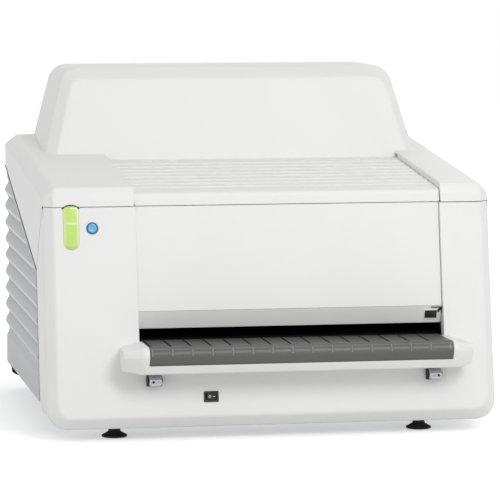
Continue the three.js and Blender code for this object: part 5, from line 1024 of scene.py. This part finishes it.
def capsule_top(half, height, sagitta, steps=10):
    """Points of a shallow arc over a width, from right to left, its ends at a height."""
    radius = (half ** 2 + sagitta ** 2) / (2 * sagitta)
    spread = asin(half / radius)
    return [(radius * sin(turn), height + sagitta - radius * (1 - cos(turn)))
            for turn in (spread - 2 * spread * i / steps for i in range(steps + 1))]


def status_lens():
    """The green lens: a domed strip with a round foot and a shallow arc on top, and the dark rim over it."""
    place = on_face(LENS_X, LENS_FOOT)
    tall = (LENS_TOP - LENS_FOOT) / MM / cos(LEAN)
    foot = [(-x, -y) for x, y in circle(LENS_HALF, 40)[:21]]
    outline = foot + capsule_top(LENS_HALF, tall, 2.4)
    dome = pad("dome", outline, -9, 3.6, 3.2, place)
    brim = inset([Vector(point) for point in outline], -1.1)
    flange = pad("flange", brim, -8, 0.45, 0.25, place, steps=2)
    dress(merged("status_lens_domed", dome, flange), "lens_green", "frame", "status_lens")
    rim = capsule_top(13.6, tall - 2, 1.2)[::-1] + capsule_top(13.6, tall - 0.4, 4.8)
    dress(pad("lens_rim", rim, -2, 0.9, 0.4, place, steps=2), "black_plastic")


def erase_button():
    """The blue button in its darker ring: both turned, the button slightly dished with a fine groove."""
    place = on_face(*BUTTON_PLACE)
    button = turned("erase_button_dished", (
        (0, -12), (6.8, -12), (6.95, 1.5), (6.6, 2.2), (5.9, 2.6), (5.0, 2.45), (4.7, 2.15), (3.2, 2.0),
        (1.4, 1.95), (0, 1.95)), place)
    dress(button, "button_blue", "button", "erase_button")
    ring = turned("button_ring_turned", (
        (7.3, -7), (8.3, -7), (8.3, 0.35), (9.1, 0.4), (9.1, 0.9), (8.7, 1.35), (7.7, 1.35), (7.3, 1.0),
        (7.3, -7)), place)
    dress(ring, "ring_blue", "frame", "button_ring")
    mark = frame_ring("erase_button_mark", rounded_box(2.6, 1.9, 0.5), rounded_box(2.0, 1.3, 0.3), 1.7, 2.15,
                      0.08, place)
    dress(mark, "button_blue", "button")


def power_rocker():
    """The rocker, level on its left and sloping on its right, with its off and on marks, in a rimmed housing."""
    place = on_face(*ROCKER_PLACE)
    housing = frame_ring("rocker_housing_rimmed", rounded_box(11.2, 8.2, 1.2), rounded_box(8.0, 5.0, 0.6), -20,
                         1.55, 0.5, place)
    dress(housing, "black_plastic", "frame", "rocker_housing")
    section = ((-6.9, -3.0), (-6.9, 3.2), (-6.5, 3.6), (-0.3, 3.62), (0.3, 3.5), (6.5, 1.5), (6.9, 1.1),
               (6.9, -3.0))
    rings = [[(x * MM, y * MM, z * MM) for x, z in section] for y in (-4.65, -4.6, 4.6, 4.65)]
    body = lofted("power_rocker_body", rings, place, crease=25)
    rounding = ("BEVEL", {"width": 0.35 * MM, "segments": 2, "limit_method": "ANGLE",
                          "angle_limit": radians(40)})
    dress(bake(body, rounding), "black_plastic", "rocker", "power_rocker")
    off = frame_ring("rocker_off_mark", circle(1.8), circle(1.1), -0.3, 0.12, 0.05, place @ shifted(-2.6, 0, 3.62))
    on = pad("rocker_on_mark", rounded_box(1.8, 0.4, 0.2), -0.2, 0.12, 0.06,
             place @ shifted(3.9, 0, 2.39, atan(2.0 / 6.2)), steps=2)
    for mark in (off, on):
        dress(mark, "lamp_white", "rocker")


def tray_latches():
    """The two latches: a black base with small ears, and a chromed lever with a pillowed cap and a keyhole."""
    across = pi / 2
    for side, x, keyhole_x in LATCHES:
        place = on_face(x, LATCH_HEIGHT)
        plate = pad("plate", rounded_box(11.4, 8.4, 1.5), 0.35, 3, 0.5, place, 2)
        outline = [(4, -2.6), (4, 8.2), (-2, 8.2)] + [(a - 13, b) for a, b in circle(3, 16)[4:13]]
        ears = [pad("ear", outline, -0.9, 0.9, 0.3, place @ shifted(ear, 0, 0, across), 2)
                for ear in (-10.5, 10.5)]
        dress(merged("latch_base_" + side + "_eared", plate, *ears), "black_plastic", "frame",
              "latch_base_" + side)
        barrel = turned("barrel", (
            (1.8, 0), (7.2, 0), (7.8, 0.3), (8.1, 1.0), (8.1, 17.6), (7.8, 18.3), (7.2, 18.6), (1.8, 18.6),
            (1.8, 0)), place @ shifted(-9.3, 0, 13, across), sides=40)
        cap = pad("cap", rounded_box(9.3, 4.9, 4.4, steps=6, middle=(0, -4.2)), 13, 21, 3.2, place, steps=6)
        body = "latch_" + side
        dress(merged("tray_latch_" + side + "_lever", barrel, cap), "bright_chrome", body, "tray_latch_" + side)
        keyhole = turned("latch_keyhole_" + side, ((0, 18), (1.9, 18), (1.9, 21.1), (1.7, 21.3), (0, 21.3)),
                         place @ shifted(keyhole_x, -3.0, 0), sides=24)
        dress(keyhole, "foot_rubber", body)


def interlock_window():
    """The sensor at the band's right end: a pale raised frame round a glossy black window, along the band."""
    low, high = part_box("interlock_switch")
    band_low, band_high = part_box("slot_band")
    slant = atan2(band_high.y - BAND_SHEET - band_low.y, band_high.z - BAND_FLANGE - band_low.z)
    place = Matrix.Translation(((low.x + high.x) / 2, low.y + 1.1 * MM, (low.z + high.z) / 2))
    place = place @ Matrix.Rotation(pi / 2 + slant, 4, "X")
    wide, tall = (high.x - low.x) / 2 / MM, (high.z - low.z) / 2 / MM
    inner = rounded_box(wide - 1.1, tall - 0.9, 0.6)
    rim = frame_ring("interlock_frame", rounded_box(wide, tall, 1.2), inner, -4, 1.0, 0.5, place)
    dress(rim, "white_plastic")
    arm = pad("interlock_arm", (
        (18.4, 1.5), (18.4, 12.4), (0, 12.4), (0, 11.4), (14.5, 11.4), (9.6, 6.2), (9.9, 4.2), (11.6, 4.0),
        (17.2, 9.6), (17.2, 1.5)), -3.5, 1.6, 0.15, place, steps=2)
    dress(arm, "black_plastic")
    pane = pad("interlock_pane", inner, -6, 0.1, 0.1, place, steps=2)
    dress(pane, "black_plastic", "frame", "interlock_switch")


def levelling_feet():
    """The four rubber levelling feet, turned."""
    profile = ((0, 0), (17.6, 0), (18.8, 0.4), (19.5, 1.4), (19.5, 2.6), (18.9, 3.4), (14.5, 5.6), (10.4, 8.1),
               (9.4, 9.4), (9.2, 11), (9.2, 19.3), (8.8, 19.65), (5, 19.65), (5, 43.6), (4.6, 44), (0, 44))
    for side, x in FOOT_SIDES:
        for end, y in FOOT_ENDS:
            foot = turned(f"foot_{end}_{side}_turned", profile, Matrix.Translation((x, y, 0)), sides=64)
            dress(foot, "foot_rubber", f"{end}_{side}_foot", f"foot_{end}_{side}")


def cross_head():
    """A pan-head screw with a cross recess, standing on its Z; its rim is 3.4 mm from the middle."""
    rows = []
    for radius in (0.05, 0.5, 0.9, 1.3, 1.7, 2.1, 2.6, 3.1, 3.4, 3.4):
        ring = []
        for i in range(32):
            turn = tau * i / 32
            x, y = radius * cos(turn), radius * sin(turn)
            dome = 1.5 * sqrt(max(0.02, 1 - (radius / 3.5) ** 2))
            if radius < 2 and min(abs(x), abs(y)) < 0.45:
                dome -= 0.9
            ring.append((x * MM, y * MM, dome * MM))
        rows.append(ring)
    rows[-1] = [(x, y, -0.3 * MM) for x, y, _ in rows[-1]]
    return lofted("cross_head", rows)


def rear_screws():
    """The four cross-head screws that hold the rear cover."""
    places = [(side * SCREW_X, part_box("rear_cover")[1].y, height) for side in (-1, 1) for height in SCREW_HEIGHTS]
    screws = repeated("rear_cover_screws", cross_head(), places, "zinc_steel", tilt=-pi / 2)
    dress(screws, "zinc_steel")


def inner_skins():
    """Everything inside, with fine broken edges and smooth round faces."""
    for node in sorted(BODY_OF):
        if not frame["nodes"][node].hide_render:
            skin(node, soft=0.5 * MM, crisp=0.4 * MM, segments=2, gentle=(30, 58))


# Studio

def show(tree, lighting, seen, output):
    """Ends a tree: camera, gloss and glass see one shader, and the rest of the light comes from another."""
    rays = {socket.name: socket for socket in add(tree, "ShaderNodeLightPath").outputs}
    sums(tree, rays,
         ("or gloss", "MAXIMUM", "Is Camera Ray", "Is Glossy Ray"),
         ("or glass", "MAXIMUM", "or gloss", "Is Transmission Ray"))
    mixed = add(tree, "ShaderNodeMixShader", {0: rays["or glass"], 1: lighting.outputs[0], 2: seen.outputs[0]})
    tree.links.new(mixed.outputs[0], tree.nodes[output].inputs["Surface"])


def white_air():
    """The world: a soft sky, brightest at the horizon, that camera, gloss and glass see as plain white."""
    world = bpy.data.worlds.new("studio_air")
    world.use_nodes = True
    tree = world.node_tree
    up = add(tree, "ShaderNodeSeparateXYZ", {"Vector": add(tree, "ShaderNodeTexCoord").outputs["Generated"]})
    level = add(tree, "ShaderNodeMapRange", {"Value": up.outputs["Z"], "To Min": SKY_LOW, "To Max": SKY_HIGH})
    dim = tree.nodes["Background"]
    dim.inputs["Color"].default_value = linear("#F6F7F8")
    tree.links.new(level.outputs["Result"], dim.inputs["Strength"])
    white = add(tree, "ShaderNodeBackground", {"Color": (1, 1, 1, 1), "Strength": 1.0})
    show(tree, dim, white, "World Output")
    bpy.context.scene.world = world


def paper_floor():
    """A white paper floor that keeps the shadow and fades to plain white away from the scanner."""
    bm = bmesh.new()
    bmesh.ops.create_grid(bm, x_segments=2, y_segments=2, size=FLOOR_HALF)
    floor = link("floor", ended("floor", bm))
    paper = bpy.data.materials.new("white_paper_floor")
    paper.use_nodes = True
    tree = paper.node_tree
    tree.nodes.remove(tree.nodes["Principled BSDF"])
    matt = add(tree, "ShaderNodeBsdfDiffuse", {"Color": linear("#E6E6E6")})
    place = add(tree, "ShaderNodeTexCoord").outputs["Object"]
    away = add(tree, "ShaderNodeVectorMath", {0: place}, operation="LENGTH").outputs["Value"]
    glow = add(tree, "ShaderNodeMapRange", {"Value": away, "From Min": GLOW_START, "To Min": GLOW_NEAR,
                                            "To Max": GLOW_FAR}, interpolation_type="SMOOTHSTEP")
    light = add(tree, "ShaderNodeEmission", {"Color": (1, 1, 1, 1), "Strength": glow.outputs["Result"]})
    lift = add(tree, "ShaderNodeAddShader", {0: matt.outputs[0], 1: light.outputs[0]})
    show(tree, matt, lift, "Material Output")
    floor.data.materials.append(paper)


def studio():
    """White surroundings, a soft key from the front, a low fill from the left, a rear lamp, and the camera."""
    scene = bpy.context.scene
    scene.view_settings.view_transform = "Standard"
    white_air()
    paper_floor()
    for name, place, size, power in LAMPS:
        lamp = bpy.data.lights.new(name, "AREA")
        lamp.size = size
        lamp.energy = power
        light = link(name, lamp)
        light.location = place
        light.rotation_euler = (LAMPS_AIM - Vector(place)).to_track_quat("-Z", "Y").to_euler()
    lens = bpy.data.cameras.new("camera")
    lens.lens = CAMERA_LENS
    lens.sensor_width = 36
    camera = link("camera", lens)
    camera.location = CAMERA_PLACE
    camera.rotation_euler = (pi / 2 - CAMERA_PITCH, 0, -CAMERA_YAW)
    scene.camera = camera


studio()
cover_skins()
service_lid()
slot_band()
cassette_tray()
side_panels()
status_lens()
erase_button()
power_rocker()
tray_latches()
interlock_window()
rear_screws()
levelling_feet()
inner_skins()
